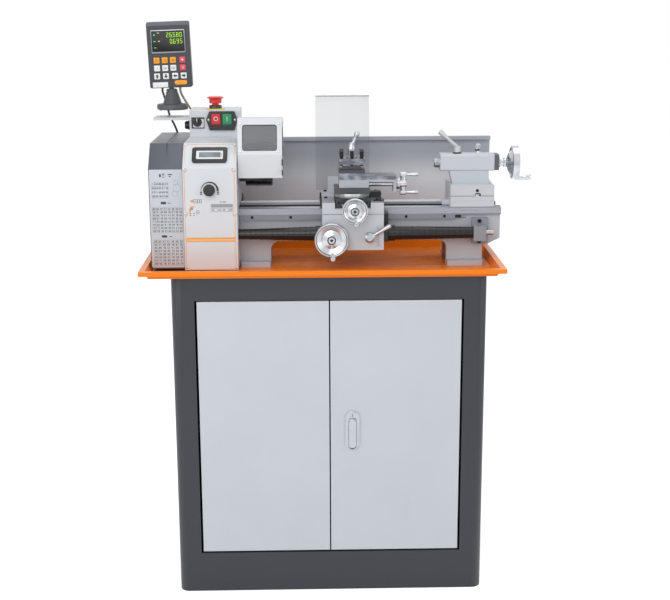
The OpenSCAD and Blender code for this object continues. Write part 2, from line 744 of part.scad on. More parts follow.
module drive_motor() color(dark_steel) {
  difference() {
    union() {
      lathe_x(motor_x0, motor_y, motor_z)
        polygon([[0, 0], [motor_r - 6, 0], [motor_r - 2, 4], [motor_r - 2, 14], [motor_r, 14],
                 [motor_r, motor_len - 20], [motor_r - 3, motor_len - 20],
                 [motor_r - 3, motor_len - 6], [motor_r - 10, motor_len], [0, motor_len]]);
      xcyl(motor_x0 - 5.6, motor_x0 + 1, motor_y, motor_z, 19.9);
    }
    xcyl(motor_x0 - 6, motor_x0 + 40, motor_y, motor_z, 7 + fit);
  }
}

// Motor shaft with its toothed pulley and two flanges
module motor_pulley() color(steel) {
  xcyl(shaft_x, motor_x0 + 38, motor_y, motor_z, 7);
  xcyl(belt_x0 - 1, belt_x0 + belt_w + 1, motor_y, motor_z, motor_pulley_r);
  for (x = [belt_x0 - 2.5, belt_x0 + belt_w + 1])
    xcyl(x, x + 1.5, motor_y, motor_z, motor_pulley_r + 4);
}

module spindle_pulley() color(steel) difference() {
  union() {
    xcyl(belt_x0 - 1, belt_x0 + belt_w + 1, 0, axis_z, pulley_r);
    xcyl(belt_x0 - 2.5, belt_x0 - 1, 0, axis_z, pulley_r + 4);
    xcyl(belt_x0 + belt_w + 1, belt_x0 + belt_w + 2.5, 0, axis_z, pulley_r + 4);
    xcyl(belt_x0 - 10, cast_x0 - gap, 0, axis_z, spindle_r + 2.4);
    along_x(gear_x0, gear_x1) translate(spindle_c) gear_outline(teeth_spindle, gear_m);
  }
  xcyl(belt_x0 - 11, cast_x0 + 1, 0, axis_z, spindle_r);
}

module drive_belt() color(black) along_x(belt_x0, belt_x0 + belt_w) difference() {
  belt_outline(spindle_c, pulley_r + 3.5, [motor_y, motor_z], motor_pulley_r + 3.5);
  belt_outline(spindle_c, pulley_r + fit, [motor_y, motor_z], motor_pulley_r + fit);
}

// ---------- spindle and chuck ----------

nose_x = head_x1 + 15;
chuck_x1 = nose_x + chuck_len;
jaw_w = 14;

module spindle() color(steel) lathe_x(0, 0, axis_z) difference() {
  polygon([[0, cover_x0 + 5], [spindle_r - 1, cover_x0 + 5], [spindle_r, cover_x0 + 6],
           [spindle_r, cast_x1 + gap], [22, cast_x1 + gap], [22, head_x1 + 1],
           [40, head_x1 + 1], [40, nose_x], [27, nose_x], [27, nose_x + 4], [0, nose_x + 4]]);
  translate([-1, cover_x0]) square([spindle_bore + 1, nose_x - cover_x0 + 10]);
}

module chuck_body() color(steel) difference() {
  lathe_x(0, 0, axis_z)
    polygon([[13, nose_x + 4], [27, nose_x + 4], [27, nose_x], [chuck_r - 1, nose_x],
             [chuck_r, nose_x + 1], [chuck_r, nose_x + 15], [chuck_r - 0.8, nose_x + 15.5],
             [chuck_r - 0.8, nose_x + 17], [chuck_r, nose_x + 17.5], [chuck_r, chuck_x1 - 2],
             [chuck_r - 2, chuck_x1], [13, chuck_x1]]);
  // Slots of the three jaws and the key holes
  for (a = [90, 210, 330]) translate([0, 0, axis_z]) rotate([a - 90, 0, 0]) {
    bx(chuck_x1 - 26, chuck_x1 + 1, -jaw_w / 2 - fit, jaw_w / 2 + fit, 0, chuck_r + 1);
    translate([nose_x + 24, 0, 0]) rotate([60, 0, 0]) cylinder(r = 5, h = chuck_r + 1);
  }
}

// A stepped jaw: its grip, two steps and the guide in the slot
module chuck_jaw(a) color(dark_steel) translate([0, 0, axis_z]) rotate([a - 90, 0, 0])
  along_y(-jaw_w / 2, jaw_w / 2)
    polygon([[chuck_x1 - 25.7, 12], [chuck_x1 + 14, 12], [chuck_x1 + 14, 22],
             [chuck_x1 + 9.5, 22], [chuck_x1 + 9.5, 33], [chuck_x1 + 5, 33],
             [chuck_x1 + 5, 44], [chuck_x1 - 0.5, 44], [chuck_x1 - 0.5, 48],
             [chuck_x1 - 25.7, 48]]);

module chuck_jaw_1() chuck_jaw(90);

module chuck_jaw_2() chuck_jaw(210);

module chuck_jaw_3() chuck_jaw(330);

module stud_gear() color(steel) difference() {
  along_x(gear_x0, gear_x1) difference() {
    translate(stud_c) gear_outline(teeth_stud, gear_m, turn_stud);
    translate(stud_c) circle(stud_r + fit);
    for (a = [45:90:315]) translate(stud_c + 36 * [cos(a), sin(a)]) circle(13);
  }
}

// Guard over the chuck: a bent sheet on a rod, with a window
guard_x0 = head_x1 + 2;
guard_x1 = guard_x0 + 99;
guard_t = 2.5;
guard_line = [[-95, axis_z - 20], [-100, axis_z + 33], [-80, axis_z + 111], [30, axis_z + 105],
              [rod_y + 2, rod_z + 4]];
window_z0 = axis_z + 37;
window_z1 = axis_z + 103;

module chuck_guard() color(offwhite) difference() {
  union() {
    xcyl(cast_x1 - bearing_w + 1, guard_x1, rod_y, rod_z, rod_r);
    difference() {
      along_x(guard_x0, guard_x1) band(guard_line, -guard_t);
      along_y(-110, -78)
        rrect(guard_x0 + 11, guard_x1 - 12, window_z0 + 4, window_z1 - 5.5, 5);
    }
    // Side flange at the open end
    along_x(guard_x1 - 2, guard_x1) band([for (i = [0:3]) guard_line[i]], -9);
  }
}

module guard_window() color([0.75, 0.85, 0.90, 0.4]) intersection() {
  along_x(guard_x0 + 2, guard_x1 - 3)
    band([for (i = [1:2]) mitre(guard_line, i, -guard_t)], -2);
  bx(guard_x0, guard_x1, -130, 0, window_z0, window_z1);
}

// ---------- leadscrew ----------

bracket_x0 = 336;
bracket_x1 = 373;
bearing_x0 = cast_x0 + 2;

module leadscrew() color(steel) {
  lathe_x(0, screw_y, screw_z)
    polygon([[0, gear_x0 - 6], [screw_r - 2, gear_x0 - 6], [screw_r - 2, bearing_x0 + 20],
             [screw_r, bearing_x0 + 20], [screw_r, bracket_x0 - 2], [screw_r - 2, bracket_x0 - 2],
             [screw_r - 2, bracket_x1 + 10], [0, bracket_x1 + 10]]);
  along_x(gear_x0, gear_x1) translate(screw_c) gear_outline(teeth_screw, gear_m, turn_screw);
}

// Bearings of the leadscrew at both ends of the bed
module screw_brackets() color(casting) {
  difference() {
    union() {
      bx(bracket_x0, bracket_x1, -bed_half - 5, -web_y, screw_z - 29, screw_z + 30);
      bx(bracket_x0, bracket_x1 - 9, -106, -bed_half - 4, screw_z - 16, screw_z + 17);
      bx(bearing_x0, bearing_x0 + 18, -102, -web_y, screw_z - 19, screw_z + 22);
    }
    xcyl(bracket_x0 - 1, bracket_x1 + 1, screw_y, screw_z, screw_r - 2 + fit);
    xcyl(bearing_x0 - 1, bearing_x0 + 20, screw_y, screw_z, screw_r - 2 + fit);
  }
  for (z = [screw_z - 23.5, screw_z + 24.5])
    ycyl(bracket_x0 + 17, z, -bed_half - 8, -bed_half - 4, 4.5);
}

// ---------- carriage ----------

car_x1 = car_x0 + car_w;
wing_z = way_z + 23;
trough_z = way_z + 9;
trough_x0 = 22;
trough_x1 = 102;
slide_x = 62;
apron_top = way_z - 3;
apron_z = apron_top - apron_h;
apron_back = -66;
apron_wall = 8;
wheel_x = 14;
wheel_z = apron_z + 26;
shaft_r = 6;
nut_lever_x = 99;
nut_lever_z = screw_z;
cross_x = 65;
cross_z = way_z + 9.5;
cross_r = 3.5;
keeper_y = bed_half + gap;

// Outline of a dovetail: half-widths at its foot and head
module dovetail(c, z0, z1, foot, head) polygon([[c - foot, z0], [c + foot, z0], [c + head, z1], [c - head, z1]]);

module saddle() {
  color(casting) difference() {
    union() {
      difference() {
        along_x(car_x0, car_x1)
          polygon([[apron_y, apron_top], [apron_y, wing_z], [75, wing_z], [75, way_z - 24],
                   [web_y + 1, way_z - 24], [web_y + 1, way_z - 16 - gap],
                   [keeper_y, way_z - 16 - gap], [keeper_y, way_z + gap],
                   [-keeper_y, way_z + gap], [-keeper_y, apron_top]]);
        for (s = [-1, 1]) along_x(car_x0 - 1, car_x1 + 1) rail_outline(s, gap);
        bx(trough_x0, trough_x1, apron_y - 1, 76, trough_z, wing_z + 1);
      }
      along_y(apron_y + 10, 70) dovetail(slide_x, trough_z - 1, trough_z + 8, 19.5, 25);
      // Sleeve of the cross-feed screw
      ycyl(cross_x, cross_z, apron_y - 11.6, apron_y + 1, 13);
      // Bracket of the splash shield
      bx(10, 100, 74, 108, way_z + 2, way_z + 6);
      bx(10, 100, 104.6, 108, way_z + 2, way_z + 51);
      bx(car_x1 - 29, car_x1 - 3, -62, -38, wing_z - 1, way_z + 38);
    }
    ycyl(cross_x, cross_z, apron_y - 13, 0, cross_r + fit);
    bx(cross_x - 7, cross_x + 7, -52, 71, way_z + 4.6, wing_z);
  }
  color(black) {
    zcyl(car_x1 - 11, -108, wing_z, wing_z + 3, 11);
    translate([car_x1 - 11, -108, wing_z + 3]) cylinder(r = 6, h = 5, $fn = 6);
  }
}

module apron() color(casting) difference() {
  union() {
    difference() {
      bx(car_x0, car_x1, apron_y, apron_back, apron_z, apron_top);
      bx(car_x0 + apron_wall, car_x1 - apron_wall, apron_y + apron_wall, apron_back + 1,
         apron_z + apron_wall, apron_top - apron_wall);
    }
    ycyl(wheel_x, wheel_z, apron_y - 5, apron_y + 18, 12);
    ycyl(nut_lever_x, nut_lever_z, apron_y + 1, apron_y + 9, 10);
    // Guides of the half nut
    for (x = [nut_x0 - gap - 10, nut_x1 + gap])
      bx(x, x + 10, -102, apron_back, screw_z + 14, apron_top - 1);
  }
  ycyl(wheel_x, wheel_z, apron_y - 6, apron_y + 20, shaft_r + fit);
  ycyl(nut_lever_x, nut_lever_z, apron_y - 1, apron_y + 11, 5 + fit);
  for (x = [car_x0 - 1, car_x1 - apron_wall - 1])
    xcyl(x, x + apron_wall + 2, screw_y, screw_z, screw_r + 3);
}

nut_x0 = 50;
nut_x1 = 84;
pin_turn = 20;
pin_arm = 5.85;
nut_pin_x = nut_lever_x - pin_arm * cos(pin_turn);
nut_pin_z = nut_lever_z - pin_arm * sin(pin_turn);

module half_nut() color([0.75, 0.60, 0.30]) difference() {
  union() {
    bx(nut_x0, nut_x1, -104, -68, screw_z + 0.5, screw_z + 38);
    bx(nut_x0, nut_pin_x + 3, -110, -103, screw_z - 9, screw_z + 14);
  }
  xcyl(nut_x0 - 1, nut_x1 + 1, screw_y, screw_z, screw_r + gap);
  bx(nut_pin_x - 5, nut_pin_x + 4, -111, -102, nut_pin_z - 2.5 - gap, nut_pin_z + 2.5 + gap);
}

// Lever that lifts the half nut from the leadscrew
module half_nut_lever() color(steel) {
  lathe_y(nut_lever_x, apron_y - 17, nut_lever_z)
    polygon([[0, 0], [7, 0], [11, 3], [11, 16.6], [0, 16.6]]);
  ycyl(nut_lever_x, nut_lever_z, apron_y - 1, apron_y + 14, 5);
  ycyl(nut_lever_x, nut_lever_z, apron_y + 9.4, apron_y + 15, 9);
  ycyl(nut_pin_x, nut_pin_z, apron_y + 14, -103.5, 2.5);
  translate([nut_lever_x, apron_y - 10, nut_lever_z]) rotate([0, 60, 0]) {
    translate([0, 0, 4]) rotate_extrude()
      polygon([[0, 0], [3.5, 0], [3.6, 16], [5.4, 46], [4.6, 50], [0, 51]]);
  }
}

// Handwheel on a shaft along Y: rim, dished face, hub and a grip with a slotted screw
module handwheel(x, z, y0, depth, r, shaft, shaft_y1, grip_at, grip_y0, turn = 0) {
  lathe_y(x, y0, z)
    polygon([[0, 0], [shaft + 1, 0], [shaft + 3.5, 2], [shaft + 4, depth * 0.55],
             [r * 0.55, depth * 0.75], [r - 5, depth * 0.35], [r - 3, 0], [r - 1, 0],
             [r, 1.2], [r, depth - 1], [r - 1, depth], [0, depth]]);
  ycyl(x, z, y0 + depth - 1, shaft_y1, shaft);
  translate([x + grip_at * sin(turn), grip_y0, z - grip_at * cos(turn)]) rotate([-90, 0, 0])
    rotate_extrude()
      polygon([[0, 1.2], [2.6, 1.2], [2.6, 0], [4.8, 0], [6.3, 3], [6.3, 9], [4.2, y0 - grip_y0 - 6],
               [4.6, y0 - grip_y0 + 2], [0, y0 - grip_y0 + 2]]);
}

module apron_wheel() color(steel) {
  handwheel(wheel_x, wheel_z, apron_y - 22, 14, apron_wheel_r, shaft_r, apron_y + 26,
            33, apron_y - 66, 3);
  ycyl(wheel_x, wheel_z, apron_y - 9, apron_y - 5.3, 12);
  ycyl(wheel_x, wheel_z, apron_y + 18.3, apron_y + 24, 10);
}

module cross_wheel() color(steel) {
  handwheel(cross_x, cross_z, apron_y - 44, 12, cross_wheel_r, cross_r, 45, 25, apron_y - 68, 5);
  lathe_y(cross_x, apron_y - 33, cross_z)
    polygon([[0, 0], [15, 0], [16, 3], [20, 6], [20, 20], [14.5, 21], [0, 21]]);
}

// Sliding tubes round the leadscrew, with a ring at the apron
module screw_cover_left() color(black) lathe_x(0, screw_y, screw_z)
  polygon([[10, head_x1 + gap], [14, head_x1 + gap], [14, -140], [tube_r - 2.5, -140],
           [tube_r - 2.5, -84], [tube_r - 1.2, -84], [tube_r - 1.2, car_x0 - 22], [tube_r + 1, car_x0 - 22],
           [tube_r + 1, car_x0 - 2], [tube_r - 1, car_x0 - gap], [10, car_x0 - gap]]);

module screw_cover_right() color(black) {
  lathe_x(0, screw_y, screw_z)
    polygon([[10, car_x1 + gap], [tube_r - 1, car_x1 + gap], [tube_r - 1, car_x1 + 12],
             [tube_r + 1, car_x1 + 12], [tube_r + 1, car_x1 + 26], [tube_r - 1.2, car_x1 + 26],
             [tube_r - 1.2, car_x1 + 84], [tube_r - 2.5, car_x1 + 84], [tube_r - 2.5, car_x1 + 146],
             [14, car_x1 + 146], [14, bracket_x0 - gap], [10, bracket_x0 - gap]]);
  difference() {
    bx(car_x1 + gap, car_x1 + 12, screw_y - 16, apron_back, screw_z - 17, screw_z + 48);
    xcyl(car_x1, car_x1 + 13, screw_y, screw_z, 10);
  }
}

module splash_shield() color([0.80, 0.88, 0.92, 0.35]) difference() {
  along_x(-18, 110)
    band([[108, way_z + 18], [108, axis_z + 52], [134, axis_z + 52 + shield_h - 32]], -3);
  for (x = [25, 85]) ycyl(x, way_z + 40, 106, 113, 2.5);
}

// ---------- cross slide and compound ----------

slide_top = way_z + 30;
pivot_x = 61;
pivot_y = -73;
ring_z = slide_top + gap;
base_z = slide_top + 9.5;
tail_z = slide_top + 23;
tail_head = tail_z + 12;
top_z = slide_top + 49;
platform_z = top_z + 6;
top_x0 = 32;
top_screw_z = tail_z + 5;
top_screw_r = 6;
pivot_pin = 10;

module cross_slide() color(dark_steel) {
  difference() {
    bx(slide_x - cross_w / 2, slide_x + cross_w / 2, -115, -115 + cross_len,
       trough_z + gap, slide_top);
    along_y(-117, cross_len)
      dovetail(slide_x, trough_z - 1, trough_z + 8 + gap, 19.5 + gap * 1.5, 25 + gap * 1.7);
    zcyl(pivot_x, pivot_y, slide_top - 9, slide_top + 1, pivot_pin + fit);
    for (x = [-24, 24]) {
      bx(slide_x + x - 4, slide_x + x + 4, -20, cross_len, slide_top - 4, slide_top + 1);
    }
  }
  // Nut on the cross-feed screw
  difference() {
    bx(cross_x - 6.4, cross_x + 6.4, -28, -8, way_z + 5, trough_z + 12);
    ycyl(cross_x, cross_z, -29, -7, cross_r + fit);
  }
}

module compound_base() {
  color([0.90, 0.90, 0.89]) lathe_z(pivot_x, pivot_y, 0)
    polygon([[0, ring_z], [38, ring_z], [38.5, ring_z + 1], [38.5, base_z], [0, base_z]]);
  color(dark_steel) {
    zcyl(pivot_x, pivot_y, slide_top - 8.7, ring_z + 1, pivot_pin);
    difference() {
      union() {
        bx(pivot_x - 39.5, pivot_x + 39.5, pivot_y - 35, pivot_y + 35, base_z, tail_z);
        along_x(pivot_x - 27, pivot_x + 37.5)
          dovetail(pivot_y, tail_z - 1, tail_head, 20.5, 27);
      }
      xcyl(pivot_x - 45, pivot_x + 45, pivot_y, top_screw_z, top_screw_r + fit);
    }
  }
}

module top_slide() color(steel) {
  difference() {
    union() {
      along_x(top_x0, pivot_x + 37.5) difference() {
        translate([pivot_y - 34, tail_z + gap]) square([68, top_z - tail_z - gap]);
        dovetail(pivot_y, tail_z - 1, tail_head + gap, 20.5 + gap * 1.5, 27 + gap * 1.6);
      }
      bx(top_x0, top_x0 + top_len, pivot_y - 30, pivot_y + 30, tail_head + gap, top_z);
      bx(top_x0, top_x0 + 58, pivot_y - 30, pivot_y + 30, top_z - 1, platform_z);
      bx(top_x0 + top_len - 4, top_x0 + top_len + 3, pivot_y - 20, pivot_y + 20,
         tail_z - 12, top_z);
      // Stud of the tool post
      zcyl(pivot_x, pivot_y, platform_z - 1, platform_z + 32, 8);
    }
    xcyl(top_x0 + top_len - 5, top_x0 + top_len + 4, pivot_y, top_screw_z, top_screw_r + fit);
    zcyl(pivot_x, pivot_y, platform_z + 18, platform_z + 33, 4 + fit);
  }
}

crank_x = top_x0 + top_len + 3 + gap;
crank_arm = 20;

module top_crank() color(steel) {
  lathe_x(0, pivot_y, top_screw_z)
    polygon([[0, pivot_x - 20], [top_screw_r, pivot_x - 20], [top_screw_r, crank_x],
             [12, crank_x], [13, crank_x + 1], [13, crank_x + 8], [9, crank_x + 9],
             [9, crank_x + 22], [7.5, crank_x + 24], [0, crank_x + 24]]);
  for (s = [-1, 1]) {
    translate([crank_x + 16, pivot_y, top_screw_z]) rotate([s > 0 ? 0 : 180, 0, 0])
      cylinder(r1 = 6.6, r2 = 5.6, h = crank_arm);
    lathe_x(0, pivot_y, top_screw_z + s * crank_arm)
      polygon([[0, crank_x + 9], [5, crank_x + 9], [6, crank_x + 10], [6, crank_x + 22],
               [5, crank_x + 23], [2.8, crank_x + 23], [2.8, crank_x + 26], [4, crank_x + 42],
               [4, crank_x + 48], [3, crank_x + 50], [0, crank_x + 50]]);
  }
}

post_z = platform_z + gap;
slot_z = post_z + 7;
post_top = slot_z + slot_h + 13;

module tool_post() color(dark_steel) difference() {
  bx(pivot_x - post_s / 2, pivot_x + post_s / 2, pivot_y - post_s / 2, pivot_y + post_s / 2,
     post_z, post_top);
  for (a = [0, 90, 180, 270]) translate([pivot_x, pivot_y, 0]) rotate([0, 0, a])
    bx(post_s / 2 - slot_d, post_s / 2 + 1, -post_s / 2 - 1, post_s / 2 + 1, slot_z, slot_z + slot_h);
  zcyl(pivot_x, pivot_y, post_z - 1, post_top + 1, 8 + fit);
  for (p = bolt_spots) zcyl(pivot_x + p[0], pivot_y + p[1], slot_z + slot_h - 3, post_top + 1, 3.5);
}

bolt_spots = [for (a = [0, 90, 180, 270], t = [0, 22])
              [23 * cos(a) - t * sin(a), 23 * sin(a) + t * cos(a)]];

module tool_bolts() color(black) for (p = bolt_spots) {
  zcyl(pivot_x + p[0], pivot_y + p[1], slot_z + slot_h - 3, post_top + 6, 3.5);
  translate([pivot_x + p[0], pivot_y + p[1], post_top + 5]) rotate(45) cylinder(r = 6, h = 12, $fn = 4);
}

module post_lever() color(steel) {
  zcyl(pivot_x, pivot_y, platform_z + 18.4, post_top + 2, 4);
  lathe_z(pivot_x, pivot_y, post_top + gap)
    polygon([[0, 0], [12, 0], [12, 3], [8.4, 4], [8.4, 19], [6, 28], [4, 33], [0, 34]]);
  translate([pivot_x, pivot_y, post_top + 24]) rotate([0, 23, 0]) rotate_extrude()
    polygon([[0, 0], [4, 0], [3.2, 22], [5.2, 27], [6.3, 31], [5.6, 34], [3.4, 37], [0, 37.6]]);
}

// ---------- tailstock ----------

tail_x1 = tail_x0 + tail_len;
tail_base_x0 = tail_x0 + 20;
tail_base_x1 = tail_x0 + 120;
seat_z = way_z + 15;
neck_z0 = way_z + 50;
neck_z1 = axis_z - 17;
barrel_top = axis_z + 21.5;
tail_screw_r = 5;
lock_x = tail_x0 + 40;
clamp_x = tail_x0 + 78;
clamp_z = way_z + 41;

module tailstock_base() {
  color(casting) {
    difference() {
      bx(tail_base_x0, tail_base_x1, -60, 60, way_z + gap, seat_z);
      for (s = [-1, 1]) along_x(tail_base_x0 - 1, tail_base_x1 + 1) rail_outline(s, gap);
    }
    bx(tail_base_x0 - 17, tail_base_x0 + 1, -40, -20, way_z + 3.5, seat_z - 0.5);
    // Tongue, bolt and plate that clamp it to the bed
    bx(tail_base_x0 + 4, tail_base_x1 - 4, -rail_in + gap, rail_in - gap, way_z - 5, way_z + 3);
    zcyl(clamp_x, 0, way_z - 20, way_z, 6);
    bx(clamp_x - 30, clamp_x + 24, -40, 40, way_z - 22, way_z - 16.6);
  }
  color(black) xcyl(tail_base_x1, tail_base_x1 + 7, -30, way_z + 5.5, 3.5);
}

module tailstock_body() {
  color(casting) difference() {
    union() {
      bx(tail_base_x0, tail_base_x1, -59, 52, seat_z, neck_z0);
      along_y(-18, 18)
        polygon([[tail_base_x0 + 9, neck_z0 - 1], [tail_base_x1 - 2, neck_z0 - 1],
                 [tail_base_x1 - 15, neck_z1 + 1], [tail_base_x0 + 1, neck_z1 + 1]]);
      along_x(tail_x0, tail_x1) rrect(-22, 22, neck_z1, barrel_top, 5);
    }
    xcyl(tail_x0 - 1, tail_x1 - 6, 0, axis_z, quill_r + fit);
    xcyl(tail_x1 - 7, tail_x1 + 1, 0, axis_z, tail_screw_r + fit);
    zcyl(lock_x, 0, axis_z + quill_r, barrel_top + 1, 4 + fit);
    ycyl(clamp_x, clamp_z, 40, 53, 6 + fit);
  }
  color(black) along_x(tail_x1, tail_x1 + 11) difference() {
    rrect(-21, 21, neck_z1 + 1, barrel_top - 1, 4);
    translate([0, axis_z]) circle(tail_screw_r + fit);
  }
}

module quill() color(steel) difference() {
  lathe_x(0, 0, axis_z)
    polygon([[0, tail_x0 - 13], [quill_r - 1.5, tail_x0 - 13], [quill_r, tail_x0 - 11],
             [quill_r, tail_x0 + 96], [0, tail_x0 + 96]]);
  translate([tail_x0 - 14, 0, axis_z]) rotate([0, 90, 0]) cylinder(r1 = 7.4, r2 = 6, h = 46);
  xcyl(tail_x0 + 31, tail_x0 + 97, 0, axis_z, tail_screw_r + fit);
}

module tail_wheel() color(steel) {
  lathe_x(tail_x1 + 11 + gap, 0, axis_z)
    polygon([[0, 0], [11.5, 0], [11.5, 4.5], [8.5, 5.5], [8.5, 12], [10.5, 13], [10.5, 17],
             [8, 19], [tail_wheel_r * 0.55, 24], [tail_wheel_r - 6, 34],
             [tail_wheel_r - 3, 30], [tail_wheel_r, 31], [tail_wheel_r, 45], [tail_wheel_r - 1, 46],
             [tail_wheel_r - 3, 46], [tail_wheel_r - 6, 41], [15, 33], [11, 33], [10, 38], [0, 39]]);
  xcyl(tail_x0 + 33, tail_x1 + 12, 0, axis_z, tail_screw_r);
  lathe_x(tail_x1 + 52, 0, axis_z - tail_wheel_r + 4)
    polygon([[0, 0], [4, 0], [3.6, 8], [6, 24], [6, 33], [4.6, 36.8], [0, 37]]);
}

module quill_lock() {
  color(black) lathe_z(lock_x, 0, barrel_top + gap) polygon([[0, 0], [10, 0], [10, 2], [9, 3], [0, 3]]);
  color(steel) {
    zcyl(lock_x, 0, axis_z + quill_r + 0.5, barrel_top + 2, 4);
    zcyl(lock_x, 0, barrel_top + 3, barrel_top + 16, 8);
    translate([lock_x, 0, barrel_top + 15]) rotate([0, -49, 0]) rotate_extrude()
      polygon([[0, 0], [4, 0], [3.6, 30], [5.4, 40], [6.2, 50], [5.4, 54], [0, 55.5]]);
  }
}

module tail_clamp() {
  color(steel) {
    ycyl(clamp_x, clamp_z, 42, 60, 6);
    ycyl(clamp_x, clamp_z, 52 + gap, 62, 11);
    translate([clamp_x, 57, clamp_z]) rotate([0, 12, 0]) cylinder(r1 = 4.3, r2 = 3.8, h = 74);
  }
  color(black) translate([clamp_x, 57, clamp_z]) rotate([0, 12, 0]) translate([0, 0, 70])
    rotate_extrude() polygon([[0, 0], [4.6, 0], [5.8, 8], [5.8, 20], [4, 23], [0, 24]]);
}

// ---------- readout ----------

dro_x = -356;
dro_y = 114;
dro_hinge_z = shelf_top + 58;
screen_mid = [-358, shelf_top + 144];
dro_face = dro_y - dro_d / 2;

module dro_stand() color(black) {
  difference() {
    flared(dro_x - 28, dro_x + 30, dro_y - 24, dro_y + 24, shelf_top + 16, shelf_top, 8);
    bx(dro_x - 30, dro_x + 30, dro_y - 26, dro_y + 26, shelf_top - 1, shelf_top + 10);
  }
  zcyl(dro_x + 16, dro_y, shelf_top, shelf_top + 12, 5);
  zcyl(dro_x - 16, dro_y, shelf_top, shelf_top + 12, 5);
  lathe_z(dro_x, dro_y, shelf_top + 15)
    polygon([[0, 0], [19, 0], [17, 3], [12, 33], [12, 36], [0, 36]]);
  for (x = [dro_x - 11, dro_x + 5.3]) {
    xcyl(x, x + 5.7, dro_y, dro_hinge_z, 7);
    bx(x, x + 5.7, dro_y - 7, dro_y + 7, shelf_top + 50, dro_hinge_z);
  }
  xcyl(dro_x - 14, dro_x + 14, dro_y, dro_hinge_z, 3);
}

module dro_frame() translate([screen_mid[0], 0, screen_mid[1]]) rotate([0, -dro_lean, 0]) children();

module dro_display() {
  color([0.16, 0.17, 0.19]) dro_frame() difference() {
    union() {
      along_y(dro_face + 1.5, dro_face + dro_d - 1.5) rrect(-dro_w / 2, dro_w / 2, -dro_h / 2, dro_h / 2, 5);
      along_y(dro_face, dro_face + dro_d) rrect(-dro_w / 2 + 1.5, dro_w / 2 - 1.5,
                                                -dro_h / 2 + 1.5, dro_h / 2 - 1.5, 4);
    }
    bx(-dro_w / 2 + 9, dro_w / 2 - 9, dro_face - 1, dro_face + 1, 2, 57);
  }
  color(black) difference() {
    union() {
      xcyl(dro_x - 5, dro_x + 5, dro_y, dro_hinge_z, 6.6);
      bx(dro_x - 5, dro_x + 5, dro_y - 6, dro_y + 6, dro_hinge_z, shelf_top + 70);
    }
    xcyl(dro_x - 6, dro_x + 6, dro_y, dro_hinge_z, 3 + fit);
  }
  // Keys below the screen
  color(offwhite) dro_frame() {
    for (x = [-30, -11, 8, 30], z = [-14, -31]) dro_key(x, z, 13, 13);
    for (x = [-31, -10.5, 11, 31]) dro_key(x, -48.5, 13, 13);
    along_y(dro_face - 0.8, dro_face + 1) rrect(9, 38, -69, -59.5, 4.5);
  }
}

module dro_key(x, z, w, h)
  bx(x - w / 2, x + w / 2, dro_face - 0.8, dro_face + 1, z - h / 2, z + h / 2);

// ---------- cables ----------

// A smooth curve through points, and rings carried along it without twist
function catmull(a, b, c, d, t) =
  0.5 * (2 * b + (c - a) * t + (2 * a - 5 * b + 4 * c - d) * t * t
         + (3 * b - a - 3 * c + d) * t * t * t);
function curve(p, n) = let (m = len(p) - 1)
  concat([for (i = [0:m - 1], k = [0:n - 1])
          catmull(p[max(i - 1, 0)], p[i], p[i + 1], p[min(i + 2, m)], k / n)], [p[m]]);
function tangent(c, i) = unit(c[min(i + 1, len(c) - 1)] - c[max(i - 1, 0)]);
function across(v, t) = unit(v - (v * t) * t);
function frames(c, i, v) = let (w = across(v, tangent(c, i)))
  i == len(c) - 1 ? [w] : concat([w], frames(c, i + 1, w));

module cord(p, r, n, sides = 8) {
  c = curve(p, n);
  f = frames(c, 0, [1, 0.2, 0.1]);
  m = len(c);
  points = [for (i = [0:m - 1], k = [0:sides - 1])
    let (a = k * 360 / sides, u = f[i], v = cross(tangent(c, i), f[i]))
    c[i] + r * (cos(a) * u + sin(a) * v)];
  sides_faces = [for (i = [0:m - 2], k = [0:sides - 1]) let (j = (k + 1) % sides)
    [i * sides + k, (i + 1) * sides + k, (i + 1) * sides + j, i * sides + j]];
  ends = [[for (k = [0:sides - 1]) k], [for (k = [sides - 1:-1:0]) (m - 1) * sides + k]];
  polyhedron(points, concat(sides_faces, ends));
}

black_end = [-350, end_y1 + gap, axis_z - 11];
grey_end = [-284, box_y1 + gap, axis_z + 71];
black_route = [[-378, 118, axis_z + 166.4], [-378, 118, axis_z + 159], [-377, 136, axis_z + 147],
               [-374, 166, axis_z + 123], [-370, 186, axis_z + 95], [-358, 198, axis_z + 65],
               [-348, 207, axis_z + 26], [-347, 210, axis_z + 6], [-350, 203, axis_z - 9],
               [-350, 190.5, axis_z - 11], black_end];
grey_route = [[-336, 118, axis_z + 168], [-336, 118, axis_z + 160], [-334, 136, axis_z + 148],
              [-328, 166, axis_z + 130], [-317, 192, axis_z + 108], [-300, 208, axis_z + 88],
              [-287, 209, axis_z + 75], [-284, 201, axis_z + 71], [-284, 189, axis_z + 71], grey_end];

module cable_black() color([0.06, 0.06, 0.07]) {
  cord(black_route, 2.6, 6);
}

module cable_grey() color([0.75, 0.72, 0.62]) {
  cord(grey_route, 3, 6);
}

cabinet_body();
door_left();
door_right();
latch_plate();
latch_lever();
chip_tray();
backsplash();
mounting_bolts();
bed();
headstock();
spindle_bearings();
head_cover();
switch_box();
switch_plates();
end_cover();
drive_motor();
motor_pulley();
drive_belt();
spindle();
spindle_pulley();
chuck_body();
chuck_jaw_1();
chuck_jaw_2();
chuck_jaw_3();
stud_gear();
leadscrew();
screw_brackets();
chuck_guard();
guard_window();
saddle();
apron();
screw_cover_left();
screw_cover_right();
splash_shield();
apron_wheel();
half_nut_lever();
half_nut();
cross_slide();
cross_wheel();
compound_base();
top_slide();
top_crank();
tool_post();
tool_bolts();
post_lever();
tailstock_base();
tailstock_body();
quill();
tail_wheel();
quill_lock();
tail_clamp();
selector_knob();
start_button();
stop_button();
emergency_stop();
speed_knob();
dro_stand();
dro_display();
cable_black();
cable_grey();
